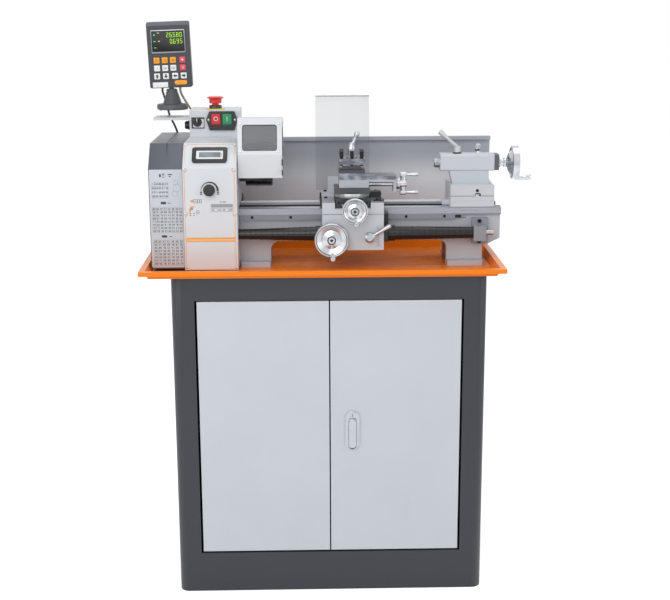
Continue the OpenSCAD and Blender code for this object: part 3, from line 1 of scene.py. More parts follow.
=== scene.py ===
"""Looks of a benchtop metal lathe on its cabinet, for Blender 4.5.

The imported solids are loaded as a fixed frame. Each operator dresses one group of them: it gives
the solids their finishes and adds the trim, prints, screws and cables that ride on them.
Pieces are built in millimetres in the frame's own axes: X along the bed, +Y away, +Z up.
"""
import math

import bmesh
import bpy
from mathutils import Matrix, Vector


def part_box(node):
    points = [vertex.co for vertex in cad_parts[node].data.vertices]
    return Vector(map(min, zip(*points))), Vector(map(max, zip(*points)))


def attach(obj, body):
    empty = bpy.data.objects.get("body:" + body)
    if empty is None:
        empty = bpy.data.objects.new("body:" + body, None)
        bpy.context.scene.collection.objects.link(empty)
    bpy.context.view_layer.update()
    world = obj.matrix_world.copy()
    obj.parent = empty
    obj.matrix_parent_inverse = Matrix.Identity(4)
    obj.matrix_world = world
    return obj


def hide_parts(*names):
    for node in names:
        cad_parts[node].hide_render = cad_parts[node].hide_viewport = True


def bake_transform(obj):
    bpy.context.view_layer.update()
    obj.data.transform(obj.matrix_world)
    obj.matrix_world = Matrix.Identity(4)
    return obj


bl_info = {
    "name": "Benchtop Metal Lathe",
    "version": (1, 0, 0),
    "blender": (4, 5, 0),
    "location": "View3D > Sidebar > Lathe",
    "description": "Finishes, controls, prints and cables of a benchtop metal lathe",
    "category": "Object",
}

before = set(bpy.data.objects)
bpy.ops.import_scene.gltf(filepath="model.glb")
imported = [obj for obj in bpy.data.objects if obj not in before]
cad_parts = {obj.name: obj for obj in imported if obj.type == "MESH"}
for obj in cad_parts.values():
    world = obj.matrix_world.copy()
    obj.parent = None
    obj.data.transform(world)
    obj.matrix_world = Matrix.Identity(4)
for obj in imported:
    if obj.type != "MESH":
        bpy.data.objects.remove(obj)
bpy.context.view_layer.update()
MM = 0.001


# ---------- places taken from the solids ----------

def span(node):
    """Lowest and highest corner of a solid, in millimetres."""
    low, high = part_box(node)
    return low / MM, high / MM


def tone(red, green, blue):
    """A screen colour, 0 to 255, as a linear one, by the usual sRGB curve."""
    def linear(c):
        c /= 255
        return c / 12.92 if c <= 0.04045 else ((c + 0.055) / 1.055) ** 2.4
    return (linear(red), linear(green), linear(blue))


def rgba(colour):
    """A colour with full cover."""
    return (*tuple(colour)[:3], 1.0)


def shade(colour, factor):
    """A colour made darker or lighter."""
    return rgba([min(1.0, c * factor) for c in tuple(colour)[:3]])


BED_LOW = span("bed")[0]
HEAD_LOW, HEAD_HIGH = span("head_cover")
END_LOW, END_HIGH = span("end_cover")
TRAY_HIGH = span("chip_tray")[1]
APRON_LOW = span("apron")[0]
SADDLE_LOW, SADDLE_HIGH = span("saddle")
BOX_LOW, BOX_HIGH = span("switch_box")
QUILL_LOW, QUILL_HIGH = span("quill")
GUARD_HIGH = span("chuck_guard")[1]
AXIS_Z = (QUILL_LOW.z + QUILL_HIGH.z) / 2
CENTRE_HEIGHT = 95             # the spindle over the bed's ways
WAY_Z = AXIS_Z - CENTRE_HEIGHT
RAIL_FOOT_Z = WAY_Z - 13.2     # lower edge of the rails' ground sides
WING_Z = WAY_Z + 23            # top of the saddle's wings
LEADSCREW_Y = -83
TOP_SLIDE_Y = -73
SWIVEL_X = 61
APRON_HUB = (14, 826)          # X and Z of the two wheels' hubs
CROSS_HUB = (65, WAY_Z + 9.5)


# ---------- settings ----------

class LatheColours(bpy.types.PropertyGroup):
    """Paints and plastics."""
    slate: bpy.props.FloatVectorProperty(
        name="Slate", description="Powder coat of the cabinet",
        subtype="COLOR", size=3, min=0, max=1, default=tone(43, 46, 54))
    cover: bpy.props.FloatVectorProperty(
        name="Gear cover", description="Powder coat of the gear cover",
        subtype="COLOR", size=3, min=0, max=1, default=tone(80, 85, 96))
    door: bpy.props.FloatVectorProperty(
        name="Doors", description="Powder coat of the two doors",
        subtype="COLOR", size=3, min=0, max=1, default=tone(200, 205, 212))
    tray: bpy.props.FloatVectorProperty(
        name="Tray", description="Gloss paint of the chip tray",
        subtype="COLOR", size=3, min=0, max=1, default=tone(250, 130, 6))
    housing: bpy.props.FloatVectorProperty(
        name="Housings", description="Light paint of the head cover, switch box and guard",
        subtype="COLOR", size=3, min=0, max=1, default=tone(212, 216, 221))
    casting: bpy.props.FloatVectorProperty(
        name="Castings", description="Light paint of the cast parts",
        subtype="COLOR", size=3, min=0, max=1, default=tone(198, 203, 209))
    bed: bpy.props.FloatVectorProperty(
        name="Bed", description="Paint of the bed",
        subtype="COLOR", size=3, min=0, max=1, default=tone(182, 186, 193))
    print_orange: bpy.props.FloatVectorProperty(
        name="Orange print", description="Lines printed on the control panel",
        subtype="COLOR", size=3, min=0, max=1, default=tone(240, 160, 40))
    digits: bpy.props.FloatVectorProperty(
        name="Digits", description="Glow of the readout's digits",
        subtype="COLOR", size=3, min=0, max=1, default=tone(170, 225, 30))


class LatheCamera(bpy.types.PropertyGroup):
    """Where the camera stands, and how it looks."""
    place: bpy.props.FloatVectorProperty(
        name="Place", description="Where the camera stands", subtype="TRANSLATION",
        unit="LENGTH", size=3, default=(-0.041, -2.876, 1.333))
    yaw: bpy.props.FloatProperty(
        name="Yaw", description="Turn towards the tailstock", subtype="ANGLE",
        default=math.radians(1.30))
    pitch: bpy.props.FloatProperty(
        name="Pitch", description="Tilt downwards", subtype="ANGLE",
        default=math.radians(13.25))
    roll: bpy.props.FloatProperty(
        name="Roll", description="Turn about the line of sight", subtype="ANGLE",
        default=math.radians(0.23))
    lens: bpy.props.FloatProperty(
        name="Lens", description="Focal length on a 36 mm wide sensor", unit="CAMERA",
        min=20, max=200, default=67.1642)


class LatheLight(bpy.types.PropertyGroup):
    """Strength of the lamps and of the surroundings."""
    key: bpy.props.FloatProperty(
        name="Key", description="Large soft lamp above and in front", unit="POWER",
        min=0, default=42)
    fill: bpy.props.FloatProperty(
        name="Fill", description="Soft lamps at both sides", unit="POWER", min=0, default=14)
    room: bpy.props.FloatProperty(
        name="Room", description="Even light from all round", min=0, max=2, default=0.5)


SETTINGS = {"lathe_colours": LatheColours, "lathe_camera": LatheCamera,
            "lathe_light": LatheLight}


# ---------- shader expressions ----------

EVEN = (1, 1, 1)


class Value:
    """A shader socket that plain arithmetic works on."""

    def __init__(self, nodes, socket):
        self.nodes = nodes
        self.socket = socket

    def maths(self, operation, *values):
        return self.nodes.node("ShaderNodeMath", {"operation": operation},
                               dict(enumerate(values)))

    def __add__(self, other):
        return self.maths("ADD", self, other)

    def __radd__(self, other):
        return self.maths("ADD", other, self)

    def __sub__(self, other):
        return self.maths("SUBTRACT", self, other)

    def __rsub__(self, other):
        return self.maths("SUBTRACT", other, self)

    def __mul__(self, other):
        return self.maths("MULTIPLY", self, other)

    def __rmul__(self, other):
        return self.maths("MULTIPLY", other, self)

    def __gt__(self, other):
        return self.maths("GREATER_THAN", self, other)

    def __lt__(self, other):
        return self.maths("LESS_THAN", self, other)

    def __pow__(self, other):
        return self.maths("POWER", self, other)

    def __abs__(self):
        return self.maths("ABSOLUTE", self)


class Nodes:
    """A tree of shader nodes, built from expressions."""

    def __init__(self, tree):
        self.tree = tree
        tree.nodes.clear()

    def node(self, kind, settings=None, inputs=None, out=0):
        """Adds a node: its settings first, then its sockets' values or links."""
        made = self.tree.nodes.new(kind)
        for key, value in (settings or {}).items():
            setattr(made, key, value)
        for key, value in (inputs or {}).items():
            if isinstance(value, Value):
                self.tree.links.new(value.socket, made.inputs[key])
            else:
                made.inputs[key].default_value = value
        return Value(self, made.outputs[out])

    def seen(self, *rays):
        """1 on light paths of the kinds named, and 0 on others."""
        first, *others = [self.node("ShaderNodeLightPath", out=ray) for ray in rays]
        for other in others:
            first = first.maths("MAXIMUM", first, other)
        return first

    def close(self, shader, kind="ShaderNodeOutputMaterial"):
        """Ends the tree."""
        self.tree.links.new(shader.socket, self.tree.nodes.new(kind).inputs["Surface"])


class Finish(Nodes):
    """One material."""

    def __init__(self, name):
        self.material = bpy.data.materials.new(name)
        self.material.use_nodes = True
        super().__init__(self.material.node_tree)

    def place(self):
        """Where a point is on the resting lathe, in metres."""
        return self.node("ShaderNodeTexCoord", out="Object")

    def axes(self):
        where = self.node("ShaderNodeSeparateXYZ", inputs={0: self.place()})
        outputs = where.socket.node.outputs
        return [Value(self, outputs[i]) for i in range(3)]

    def noise(self, scale, detail, stretch=EVEN):
        where = self.place()
        if stretch != EVEN:
            where = self.node("ShaderNodeMapping", inputs={"Vector": where, "Scale": stretch})
        return self.node("ShaderNodeTexNoise", inputs={
            "Vector": where, "Scale": scale, "Detail": detail, "Roughness": 0.55})

    def step(self, value, low, high):
        """0 below low, 1 above high, and a smooth rise between."""
        return self.node("ShaderNodeMapRange", {"interpolation_type": "SMOOTHSTEP"},
                         {"Value": value, "From Min": low, "From Max": high})

    def mix(self, share, first, second):
        return self.node("ShaderNodeMix", {"data_type": "RGBA"},
                         {0: share, 6: first, 7: second}, out=2)

    def bump(self, height, depth, strength):
        return self.node("ShaderNodeBump", inputs={
            "Height": height, "Distance": depth, "Strength": strength})

    def principled(self, **inputs):
        """Closes the material with one Principled shader."""
        names = {key.replace("_", " "): value for key, value in inputs.items()}
        self.close(self.node("ShaderNodeBsdfPrincipled", inputs=names))
        return self.material


MADE = {}


def finish_once(maker):
    """Keeps each material, so that the same recipe is made once."""
    def get(name, *recipe):
        key = (maker.__name__, name, *[tuple(part) if hasattr(part, "__len__") else part
                                       for part in recipe])
        if key not in MADE:
            MADE[key] = maker(name, *recipe)
        return MADE[key]
    return get


@finish_once
def powder_coat(name, colour, rough):
    """Baked paint with a fine orange peel and faint handling marks."""
    f = Finish(name)
    cloud = f.noise(6, 4)
    fine = f.noise(900, 2)
    smear = f.noise(28, 5, (1, 1, 0.25))
    base = f.mix(cloud, shade(colour, 0.94), shade(colour, 1.05))
    base = f.mix(f.step(smear, 0.62, 0.78) * 0.10, base, shade(colour, 0.8))
    return f.principled(
        Base_Color=base, Roughness=rough + (smear - 0.5) * 0.16 + (fine - 0.5) * 0.08,
        Normal=f.bump(fine, 0.00004, 0.6))


@finish_once
def gloss_paint(name, colour):
    """Bright gloss paint with light scuffs where chips slide."""
    f = Finish(name)
    cloud = f.noise(5, 4)
    peel = f.noise(260, 2)
    scuff = f.noise(60, 6, (0.2, 1.4, 1))
    base = f.mix(cloud, shade(colour, 0.93), shade(colour, 1.04))
    return f.principled(
        Base_Color=base, Roughness=0.26 + f.step(scuff, 0.55, 0.8) * 0.2, Specular_IOR_Level=0.25,
        Coat_Weight=0.12, Coat_Roughness=0.12, Normal=f.bump(peel, 0.00008, 0.35))


@finish_once
def cast_paint(name, colour, ground=None, dark=None, dark_tone=(34, 34, 37)):
    """Painted casting. ground and dark are masks of x, y and z: bare metal, and dark colour, which is
    real dark paint on some parts and painted shade in the gap between the bed's rails.
    """
    f = Finish(name)
    place = f.axes()
    cloud = f.noise(9, 4)
    grain = f.noise(420, 3)
    cut = f.noise(700, 2, (0.02, 1, 1))
    nowhere = place[2] > 9.0   # far above the lathe
    # black is real dark paint on some castings, and painted shade in the gap between the bed's rails
    black = dark(*place) if dark else nowhere
    bare = (ground(*place) if ground else nowhere) * (1 - black)
    paint = f.mix(cloud, shade(colour, 0.93), shade(colour, 1.05))
    paint = f.mix(black, paint, rgba(tone(*dark_tone)))
    metal = f.mix(cut, rgba(tone(130, 134, 142)), rgba(tone(184, 188, 195)))
    # Painted highlight: bare metal behind the front rail, the rear rail and the gap's far wall, takes
    # a paler tone to lift the shade it sits in.
    behind_front_rail = place[1] > -31 * MM
    metal = f.mix(behind_front_rail, metal, rgba(tone(188, 192, 198)))
    metal = f.mix(place[2] < RAIL_FOOT_Z * MM, metal, rgba(tone(128, 131, 139)))
    return f.principled(
        Base_Color=f.mix(bare, paint, metal), Metallic=bare * 0.4,
        Roughness=0.42 + (cloud - 0.5) * 0.14 + (cut - 0.5) * bare * 0.2,
        Normal=f.bump(grain * (1 - bare) + cut * bare, 0.00006, 0.5))


@finish_once
def two_tone(name, lower, upper, level):
    """Machined steel, bright below a height and scuffed black oxide above it."""
    f = Finish(name)
    z = f.axes()[2]
    blot = f.noise(75, 5, (0.5, 1, 1))
    line = f.noise(900, 2, (0.05, 1, 1))
    worn = f.mix(f.step(blot, 0.35, 0.7), shade(upper, 0.6), shade(upper, 1.7))
    clean = f.mix(line, shade(lower, 0.86), shade(lower, 1.1))
    return f.principled(
        Base_Color=f.mix(z > level * MM, clean, worn), Metallic=0.85,
        Roughness=0.34 + (blot - 0.5) * 0.2 + (line - 0.5) * 0.12,
        Normal=f.bump(line, 0.00003, 0.5))


@finish_once
def banded(name, colour, band, low, high):
    """A satin finish with a band of another colour between two heights."""
    f = Finish(name)
    z = f.axes()[2]
    cloud = f.noise(30, 4)
    line = f.noise(1000, 2, (1, 1, 0.1))
    inside = (z > low * MM) * (z < high * MM)
    base = f.mix(inside, rgba(colour), rgba(band))
    base = f.mix(cloud * 0.25, base, rgba(tone(120, 122, 126)))
    return f.principled(
        Base_Color=base, Metallic=0.35, Roughness=0.36 + (cloud - 0.5) * 0.16,
        Normal=f.bump(line, 0.00002, 0.4))


@finish_once
def turned_steel(name, axis, across, up, bright):
    """Machined steel with fine rings about a line along an axis."""
    f = Finish(name)
    place = f.axes()
    others = [place[i] for i in range(3) if i != "XYZ".index(axis)]
    a, b = others[0] - across * MM, others[1] - up * MM
    away = (a * a + b * b) ** 0.5
    rings = f.node("ShaderNodeTexNoise", {"noise_dimensions": "1D"},
                   {"W": away + place["XYZ".index(axis)], "Scale": 2600.0, "Detail": 2.0})
    cloud = f.noise(30, 3)
    base = f.mix(rings, shade(tone(150, 153, 158), bright), shade(tone(206, 209, 213), bright))
    base = f.mix(f.step(cloud, 0.5, 0.75) * 0.3, base, shade(tone(120, 123, 129), bright))
    return f.principled(
        Base_Color=base, Metallic=1.0,
        Roughness=0.24 + (rings - 0.5) * 0.22 + (cloud - 0.5) * 0.12,
        Normal=f.bump(rings, 0.00003, 0.5))


@finish_once
def milled_steel(name, colour, rough, stretch):
    """Milled or ground steel with straight lines along one way."""
    f = Finish(name)
    line = f.noise(900, 2, stretch)
    cloud = f.noise(24, 4)
    base = f.mix(line, shade(colour, 0.88), shade(colour, 1.08))
    base = f.mix(f.step(cloud, 0.5, 0.8) * 0.25, base, shade(colour, 0.8))
    return f.principled(
        Base_Color=base, Metallic=0.95, Roughness=rough + (line - 0.5) * 0.2,
        Normal=f.bump(line, 0.00003, 0.5))


@finish_once
def black_oxide(name, colour):
    """Dark blued steel with a worn sheen."""
    f = Finish(name)
    cloud = f.noise(40, 5)
    line = f.noise(1100, 2, (1, 0.05, 1))
    base = f.mix(cloud, shade(colour, 0.8), shade(colour, 1.3))
    return f.principled(
        Base_Color=base, Metallic=0.75, Roughness=0.34 + (cloud - 0.5) * 0.25 + (line - 0.5) * 0.1,
        Normal=f.bump(line, 0.00003, 0.4))


@finish_once
def plastic(name, colour, rough, shine=0.5):
    """Moulded plastic with a spark-eroded grain."""
    f = Finish(name)
    grain = f.node("ShaderNodeTexVoronoi", inputs={"Vector": f.place(), "Scale": 1500.0})
    cloud = f.noise(35, 3)
    base = f.mix(cloud, shade(colour, 0.9), shade(colour, 1.1))
    return f.principled(
        Base_Color=base, Specular_IOR_Level=shine,
        Roughness=rough + (grain - 0.5) * 0.12 + (cloud - 0.5) * 0.1,
        Normal=f.bump(grain, 0.00003, 0.5))


@finish_once
def rolled_sheet(name):
    """Satin sheet steel, rolled along the bed, with a painted gradient of shade and reflection that
    makes it darker towards its top.
    """
    f = Finish(name)
    z = f.axes()[2]
    line = f.noise(500, 3, (0.015, 1, 1))
    cloud = f.noise(4, 4, (1, 1, 2))
    # painted shade and reflection: the sheet darkens from 915 mm up to 990 mm
    high = f.step(z, 915 * MM, 990 * MM)
    base = f.mix(high, rgba(tone(226, 230, 236)), rgba(tone(158, 163, 172)))
    base = f.mix((line - 0.5) * 0.4 + 0.12, base, rgba(tone(200, 204, 210)))
    return f.principled(
        Base_Color=base, Metallic=0.12,
        Roughness=0.4 + (cloud - 0.5) * 0.2 + (line - 0.5) * 0.12,
        Normal=f.bump(line, 0.00003, 0.4))


@finish_once
def clear_sheet(name, tint, solid):
    """Clear polycarbonate, a little smeared."""
    f = Finish(name)
    smear = f.noise(14, 5, (1, 1, 0.4))
    fine = f.noise(400, 2, (0.1, 1, 1))
    return f.principled(
        Base_Color=f.mix(smear, shade(tint, 0.95), shade(tint, 1.03)),
        Roughness=0.08 + smear * 0.10 + fine * 0.03, Alpha=solid + (smear - 0.5) * 0.06,
        Normal=f.bump(fine, 0.00002, 0.2))


@finish_once
def glow(name, colour, strength):
    """Lit segments behind a tinted screen."""
    f = Finish(name)
    soft = f.noise(300, 2)
    lit = f.mix(soft, shade(colour, 0.85), shade(colour, 1.1))
    return f.principled(
        Base_Color=lit, Roughness=0.4 + soft * 0.1, Emission_Color=lit,
        Emission_Strength=strength)


@finish_once
def printed(name, colour, rough):
    """Screen-printed ink with slight unevenness."""
    f = Finish(name)
    ink = f.noise(700, 3)
    return f.principled(
        Base_Color=f.mix(ink, shade(colour, 0.9), shade(colour, 1.08)),
        Roughness=rough + (ink - 0.5) * 0.1)


# Finishes that several pieces have: the maker, and what it needs besides the name.
SHARED = {
    "black screws": (black_oxide, tone(34, 34, 37)),
    "zinc screws": (milled_steel, tone(188, 190, 192), 0.3, EVEN),
    "polished lever": (milled_steel, tone(176, 180, 186), 0.3, EVEN),
    # Painted shade: turned steel at 0.42 brightness, dark as the chuck looks in the shade of its
    # guard; the spindle and its pulley share it.
    "turned chuck": (turned_steel, "X", 0, AXIS_Z, 0.42),
    "tail wheel polish": (turned_steel, "X", 0, AXIS_Z, 1.2),
    "black moulding": (plastic, tone(30, 31, 34), 0.42),
    "white moulding": (plastic, tone(226, 228, 230), 0.4),
    "stand moulding": (plastic, tone(74, 77, 83), 0.45),
    "dark gap": (plastic, tone(20, 20, 22), 0.6),
    "dark ink": (printed, tone(70, 73, 80), 0.5),
    "black ink": (printed, tone(44, 46, 50), 0.5),
    "plate enamel": (printed, tone(192, 197, 204), 0.4),
}


def shared(name):
    """A finish that several pieces have."""
    maker, *recipe = SHARED[name]
    return maker(name, *recipe)


# ---------- shapes, in millimetres ----------

class Shape:
    """Gathers faces of one piece."""

    def __init__(self):
        self.bm = bmesh.new()

    def prism(self, outline, near, far, turn=None, edge=0.0):
        """A closed outline in X and Z, from Y near to Y far. turn places it."""
        low = [self.bm.verts.new((x, near, z)) for x, z in outline]
        top = [self.bm.verts.new((x, far, z)) for x, z in outline]
        n = len(outline)
        faces = [self.bm.faces.new(low), self.bm.faces.new(list(reversed(top)))]
        for i in range(n):
            j = (i + 1) % n
            faces.append(self.bm.faces.new((low[j], low[i], top[i], top[j])))
        if edge:
            rims = list(faces[0].edges) + list(faces[1].edges)
            made = bmesh.ops.bevel(self.bm, geom=rims, offset=edge, segments=2, profile=0.6,
                                   affect="EDGES", clamp_overlap=True)
            verts = set(made["verts"]) | {v for f in faces if f.is_valid for v in f.verts}
        else:
            verts = set(low + top)
        if turn is not None:
            bmesh.ops.transform(self.bm, matrix=turn, verts=list(verts))
        return self

    def block(self, x0, x1, y0, y1, z0, z1, edge=0.0, turn=None):
        """A box between two places on each axis."""
        return self.prism([(x0, z0), (x1, z0), (x1, z1), (x0, z1)], y0, y1, turn, edge)

    def revolve(self, profile, turn, steps):
        """An outline of (radius, distance) about the Y axis, then placed by turn."""
        rings = []
        for r, along in profile:
            if r < 1e-6:
                rings.append([self.bm.verts.new((0, along, 0))])
            else:
                rings.append([self.bm.verts.new((r * math.cos(2 * math.pi * k / steps), along,
                                                 r * math.sin(2 * math.pi * k / steps)))
                              for k in range(steps)])
        for a, b in zip(rings, rings[1:]):
            for k in range(steps):
                j = (k + 1) % steps
                if len(a) == 1 and len(b) == 1:
                    continue
                if len(a) == 1:
                    self.bm.faces.new((a[0], b[k], b[j]))
                elif len(b) == 1:
                    self.bm.faces.new((a[k], b[0], a[j]))
                else:
                    self.bm.faces.new((a[k], b[k], b[j], a[j]))
        bmesh.ops.transform(self.bm, matrix=turn, verts=[v for ring in rings for v in ring])
        return self

    def tube(self, line, radius, sides):
        """A round tube along points, closed at both ends."""
        up = Vector((0.13, 0.2, 1))
        rings = []
        for i, p in enumerate(line):
            ahead = line[min(i + 1, len(line) - 1)] - line[max(i - 1, 0)]
            ahead.normalize()
            up = (up - up.dot(ahead) * ahead).normalized()
            side = ahead.cross(up)
            rings.append([self.bm.verts.new(p + radius * (math.cos(a) * up + math.sin(a) * side))
                          for a in (2 * math.pi * k / sides for k in range(sides))])
        for a, b in zip(rings, rings[1:]):
            for k in range(sides):
                j = (k + 1) % sides
                self.bm.faces.new((a[k], a[j], b[j], b[k]))
        self.bm.faces.new(rings[0])
        self.bm.faces.new(list(reversed(rings[-1])))
        return self

    def quad(self, corners):
        """One flat face, of three corners or more."""
        self.bm.faces.new([self.bm.verts.new(c) for c in corners])
        return self

    def piece(self, name, material, body=None, smooth=32):
        """Makes the object, in metres. It rides on a body when one is given."""
        bmesh.ops.recalc_face_normals(self.bm, faces=self.bm.faces)
        bmesh.ops.scale(self.bm, vec=(MM, MM, MM), verts=self.bm.verts)
        mesh = bpy.data.meshes.new(name)
        self.bm.to_mesh(mesh)
        self.bm.free()
        mesh.polygons.foreach_set("use_smooth", [True] * len(mesh.polygons))
        mesh.set_sharp_from_angle(angle=math.radians(smooth))
        mesh.materials.append(material)
        obj = bpy.data.objects.new(name, mesh)
        bpy.context.scene.collection.objects.link(obj)
        if body:
            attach(obj, body)
        return obj


def arc(x, z, r, start, end, steps=8):
    """Points on an arc, in degrees from +X towards +Z."""
    return [(x + r * math.cos(math.radians(start + (end - start) * k / steps)),
             z + r * math.sin(math.radians(start + (end - start) * k / steps)))
            for k in range(steps + 1)]


def rounded(x0, x1, z0, z1, r):
    """A rectangle with round corners, as points."""
    return (arc(x1 - r, z1 - r, r, 0, 90, 5) + arc(x0 + r, z1 - r, r, 90, 180, 5)
            + arc(x0 + r, z0 + r, r, 180, 270, 5) + arc(x1 - r, z0 + r, r, 270, 360, 5))


def at(x, y, z, *turns):
    """A placing matrix: the turns (axis, degrees) first, and then the move."""
    m = Matrix.Translation((x, y, z))
    for axis, degrees in turns:
        m = m @ Matrix.Rotation(math.radians(degrees), 4, axis)
    return m


def slab(name, outline, near, far, turn, edge, material, body):
    """A thin piece with an outline in X and Z, placed by turn."""
    return Shape().prism(outline, near, far, turn, edge).piece(name, material, body)


def facing(y, x=0, z=0):
    """Lays prints on an upright face at Y, about a point in X and Z."""
    return lambda across, up: (x + across, y, z + up)


def lying(turn, lift):
    """Lays prints on a turned face, lifted off it."""
    return lambda across, up: tuple(turn @ Vector((across, -lift, up)))


def smooth_line(points, n):
    """A Catmull-Rom curve through points."""
    p = [Vector(q) for q in points]
    line = []
    for i in range(len(p) - 1):
        a, b, c, d = p[max(i - 1, 0)], p[i], p[i + 1], p[min(i + 2, len(p) - 1)]
        for k in range(n):
            t = k / n
            line.append(0.5 * (2 * b + (c - a) * t + (2 * a - 5 * b + 4 * c - d) * t * t
                               + (3 * b - a - 3 * c + d) * t ** 3))
    return line + [p[-1]]


def coat(nodes, material):
    """Gives solids of the frame a finish."""
    for name in nodes.split():
        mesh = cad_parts[name].data
        mesh.materials.clear()
        mesh.materials.append(material)


def soften(nodes, width):
    """Rounds the sharp edges of solids a little, as real edges are."""
    for name in nodes.split():
        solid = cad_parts[name]
        join = solid.modifiers.new("Join corners", "WELD")
        join.merge_threshold = 1e-6
        faces = solid.modifiers.new("Join faces", "DECIMATE")
        faces.decimate_type = "DISSOLVE"
        faces.angle_limit = math.radians(0.4)
        edge = solid.modifiers.new("Round edges", "BEVEL")
        edge.width = width * MM
        edge.segments = 2
        edge.limit_method = "ANGLE"
        edge.angle_limit = math.radians(34)
        edge.harden_normals = True
        edge.use_clamp_overlap = True


def cap_screw(shape, turn, r, h):
    """A socket screw whose head stands on Y = 0 and faces -Y, before the turn."""
    shape.revolve([(0, 0), (r, 0), (r, -h + 0.5), (r - 0.5, -h), (r * 0.55, -h)], turn, 20)
    shape.revolve([(r * 0.55, -h), (r * 0.55, -h * 0.3), (0, -h * 0.3)], turn, 6)


def pan_screw(shape, turn, r, h):
    """A round-headed screw with a cross slot, facing -Y, before the turn."""
    shape.revolve([(r, 0), (r, -h * 0.35), (r * 0.8, -h * 0.8), (r * 0.4, -h), (0, -h)], turn, 16)
    for degrees in (45, 135):
        shape.block(-r * 0.6, r * 0.6, -h - 0.02, -h * 0.7, -r * 0.12, r * 0.12,
                    turn=turn @ Matrix.Rotation(math.radians(degrees), 4, "Y"))


SEGMENTS = {"0": "abcdef", "1": "bc", "2": "abged", "3": "abgcd", "4": "fgbc", "5": "afgcd",
            "6": "afgedc", "7": "abc", "8": "abcdefg", "9": "abcdfg"}


def digits(shape, text, x, z, width, height, pen, lay, space=1.35):
    """Seven-segment digits whose lower left corner is at x, z. lay turns (x, z) into a point."""
    for letter in text:
        if letter == ".":
            bar = [(x - width * 0.24, z, x - width * 0.24 + pen, z + pen)]
        else:
            mid = z + height / 2
            bars = {"a": (x, z + height - pen, x + width, z + height),
                    "b": (x + width - pen, mid, x + width, z + height),
                    "c": (x + width - pen, z, x + width, mid),
                    "d": (x, z, x + width, z + pen),
                    "e": (x, z, x + pen, mid),
                    "f": (x, mid, x + pen, z + height),
                    "g": (x, mid - pen / 2, x + width, mid + pen / 2)}
            bar = [bars[s] for s in SEGMENTS[letter]]
        for x0, z0, x1, z1 in bar:
            shape.quad([lay(x0, z0), lay(x1, z0), lay(x1, z1), lay(x0, z1)])
        if letter != ".":
            x += width * space


class Step:
    """What every operator here shares."""
    bl_options = {"REGISTER", "UNDO"}

    def paint(self, name):
        """A colour from the settings."""
        return getattr(bpy.context.scene.lathe_colours, name)

    def housing_paint(self):
        return powder_coat("housing paint", self.paint("housing"), 0.38)


# ---------- stage ----------

class LATHE_OT_stage(Step, bpy.types.Operator):
    """Camera, soft lamps, pale floor and white surroundings"""
    bl_idname = "lathe.stage"
    bl_label = "Stage"

    def execute(self, context):
        scene = context.scene
        look = scene.lathe_camera
        light = scene.lathe_light
        camera = bpy.data.objects.new("camera", bpy.data.cameras.new("camera"))
        scene.collection.objects.link(camera)
        camera.data.sensor_width = 36
        camera.data.lens = look.lens
        camera.data.clip_end = 50
        camera.location = look.place
        camera.rotation_mode = "QUATERNION"
        turn = (Matrix.Rotation(-look.yaw, 3, "Z")
                @ Matrix.Rotation(math.pi / 2 - look.pitch, 3, "X")
                @ Matrix.Rotation(-look.roll, 3, "Z"))
        camera.rotation_quaternion = turn.to_quaternion()
        scene.camera = camera
        for name, place, size, power in (
                ("key", (-0.8, -2.9, 2.4), 2.2, light.key),
                ("fill_left", (-2.8, -1.6, 1.5), 1.8, light.fill),
                ("fill_right", (2.8, -1.8, 1.5), 1.8, light.fill),
                ("top", (0.3, 0.2, 3.2), 2.4, light.key * 0.4)):
            lamp = bpy.data.objects.new(name, bpy.data.lights.new(name, "AREA"))
            lamp.data.shape = "SQUARE"
            lamp.data.size = size
            lamp.data.energy = power
            lamp.location = place
            lamp.rotation_mode = "QUATERNION"
            aim = Vector((0, 0, 0.75)) - lamp.location
            lamp.rotation_quaternion = aim.to_track_quat("-Z", "Y")
            scene.collection.objects.link(lamp)
        self.surroundings(scene, light.room)
        self.floor()
        scene.view_settings.view_transform = "Standard"
        return {"FINISHED"}

    def surroundings(self, scene, room):
        """Even light on the lathe, and plain white wherever the surroundings are seen."""
        scene.world = bpy.data.worlds.new("surroundings")
        scene.world.use_nodes = True
        world = Nodes(scene.world.node_tree)
        seen = world.seen("Is Camera Ray", "Is Transmission Ray", "Is Glossy Ray")
        even, plain = [world.node("ShaderNodeBackground",
                                  inputs={"Color": (1, 1, 1, 1), "Strength": strength})
                       for strength in (room, 1.0)]
        world.close(world.node("ShaderNodeMixShader", inputs={0: seen, 1: even, 2: plain}),
                    "ShaderNodeOutputWorld")

    def floor(self):
        """A matt floor that keeps the lathe's shadow and looks white round it."""
        f = Finish("floor paint")
        seen = f.seen("Is Camera Ray", "Is Glossy Ray")
        matt = f.node("ShaderNodeBsdfDiffuse", inputs={"Color": (0.86, 0.86, 0.86, 1)})
        lit = f.node("ShaderNodeEmission", inputs={"Color": (1, 1, 1, 1), "Strength": seen * 0.62})
        f.close(f.node("ShaderNodeAddShader", inputs={0: matt, 1: lit}))
        half, z = 9000, -1
        shape = Shape()
        shape.quad([(-half, -half, z), (half, -half, z), (half, half, z), (-half, half, z)])
        shape.piece("floor", f.material)


# ---------- cables ----------

def hung(points):
    """Points whose height is given above the spindle."""
    return [(x, y, AXIS_Z + up) for x, y, up in points]


BLACK_ROUTE = hung([(-378, 118, 166.4), (-378, 118, 159), (-377, 136, 147), (-374, 166, 123),
                    (-370, 186, 95), (-358, 198, 65), (-348, 207, 26), (-347, 210, 6),
                    (-350, 203, -9), (-350, 190.5, -11), (-350, 182.3, -11)])
GREY_ROUTE = hung([(-336, 118, 168), (-336, 118, 160), (-334, 136, 148), (-328, 166, 130),
                   (-317, 192, 108), (-300, 208, 88), (-287, 209, 75), (-284, 201, 71),
                   (-284, 189, 71), (-284, 180.3, 71)])


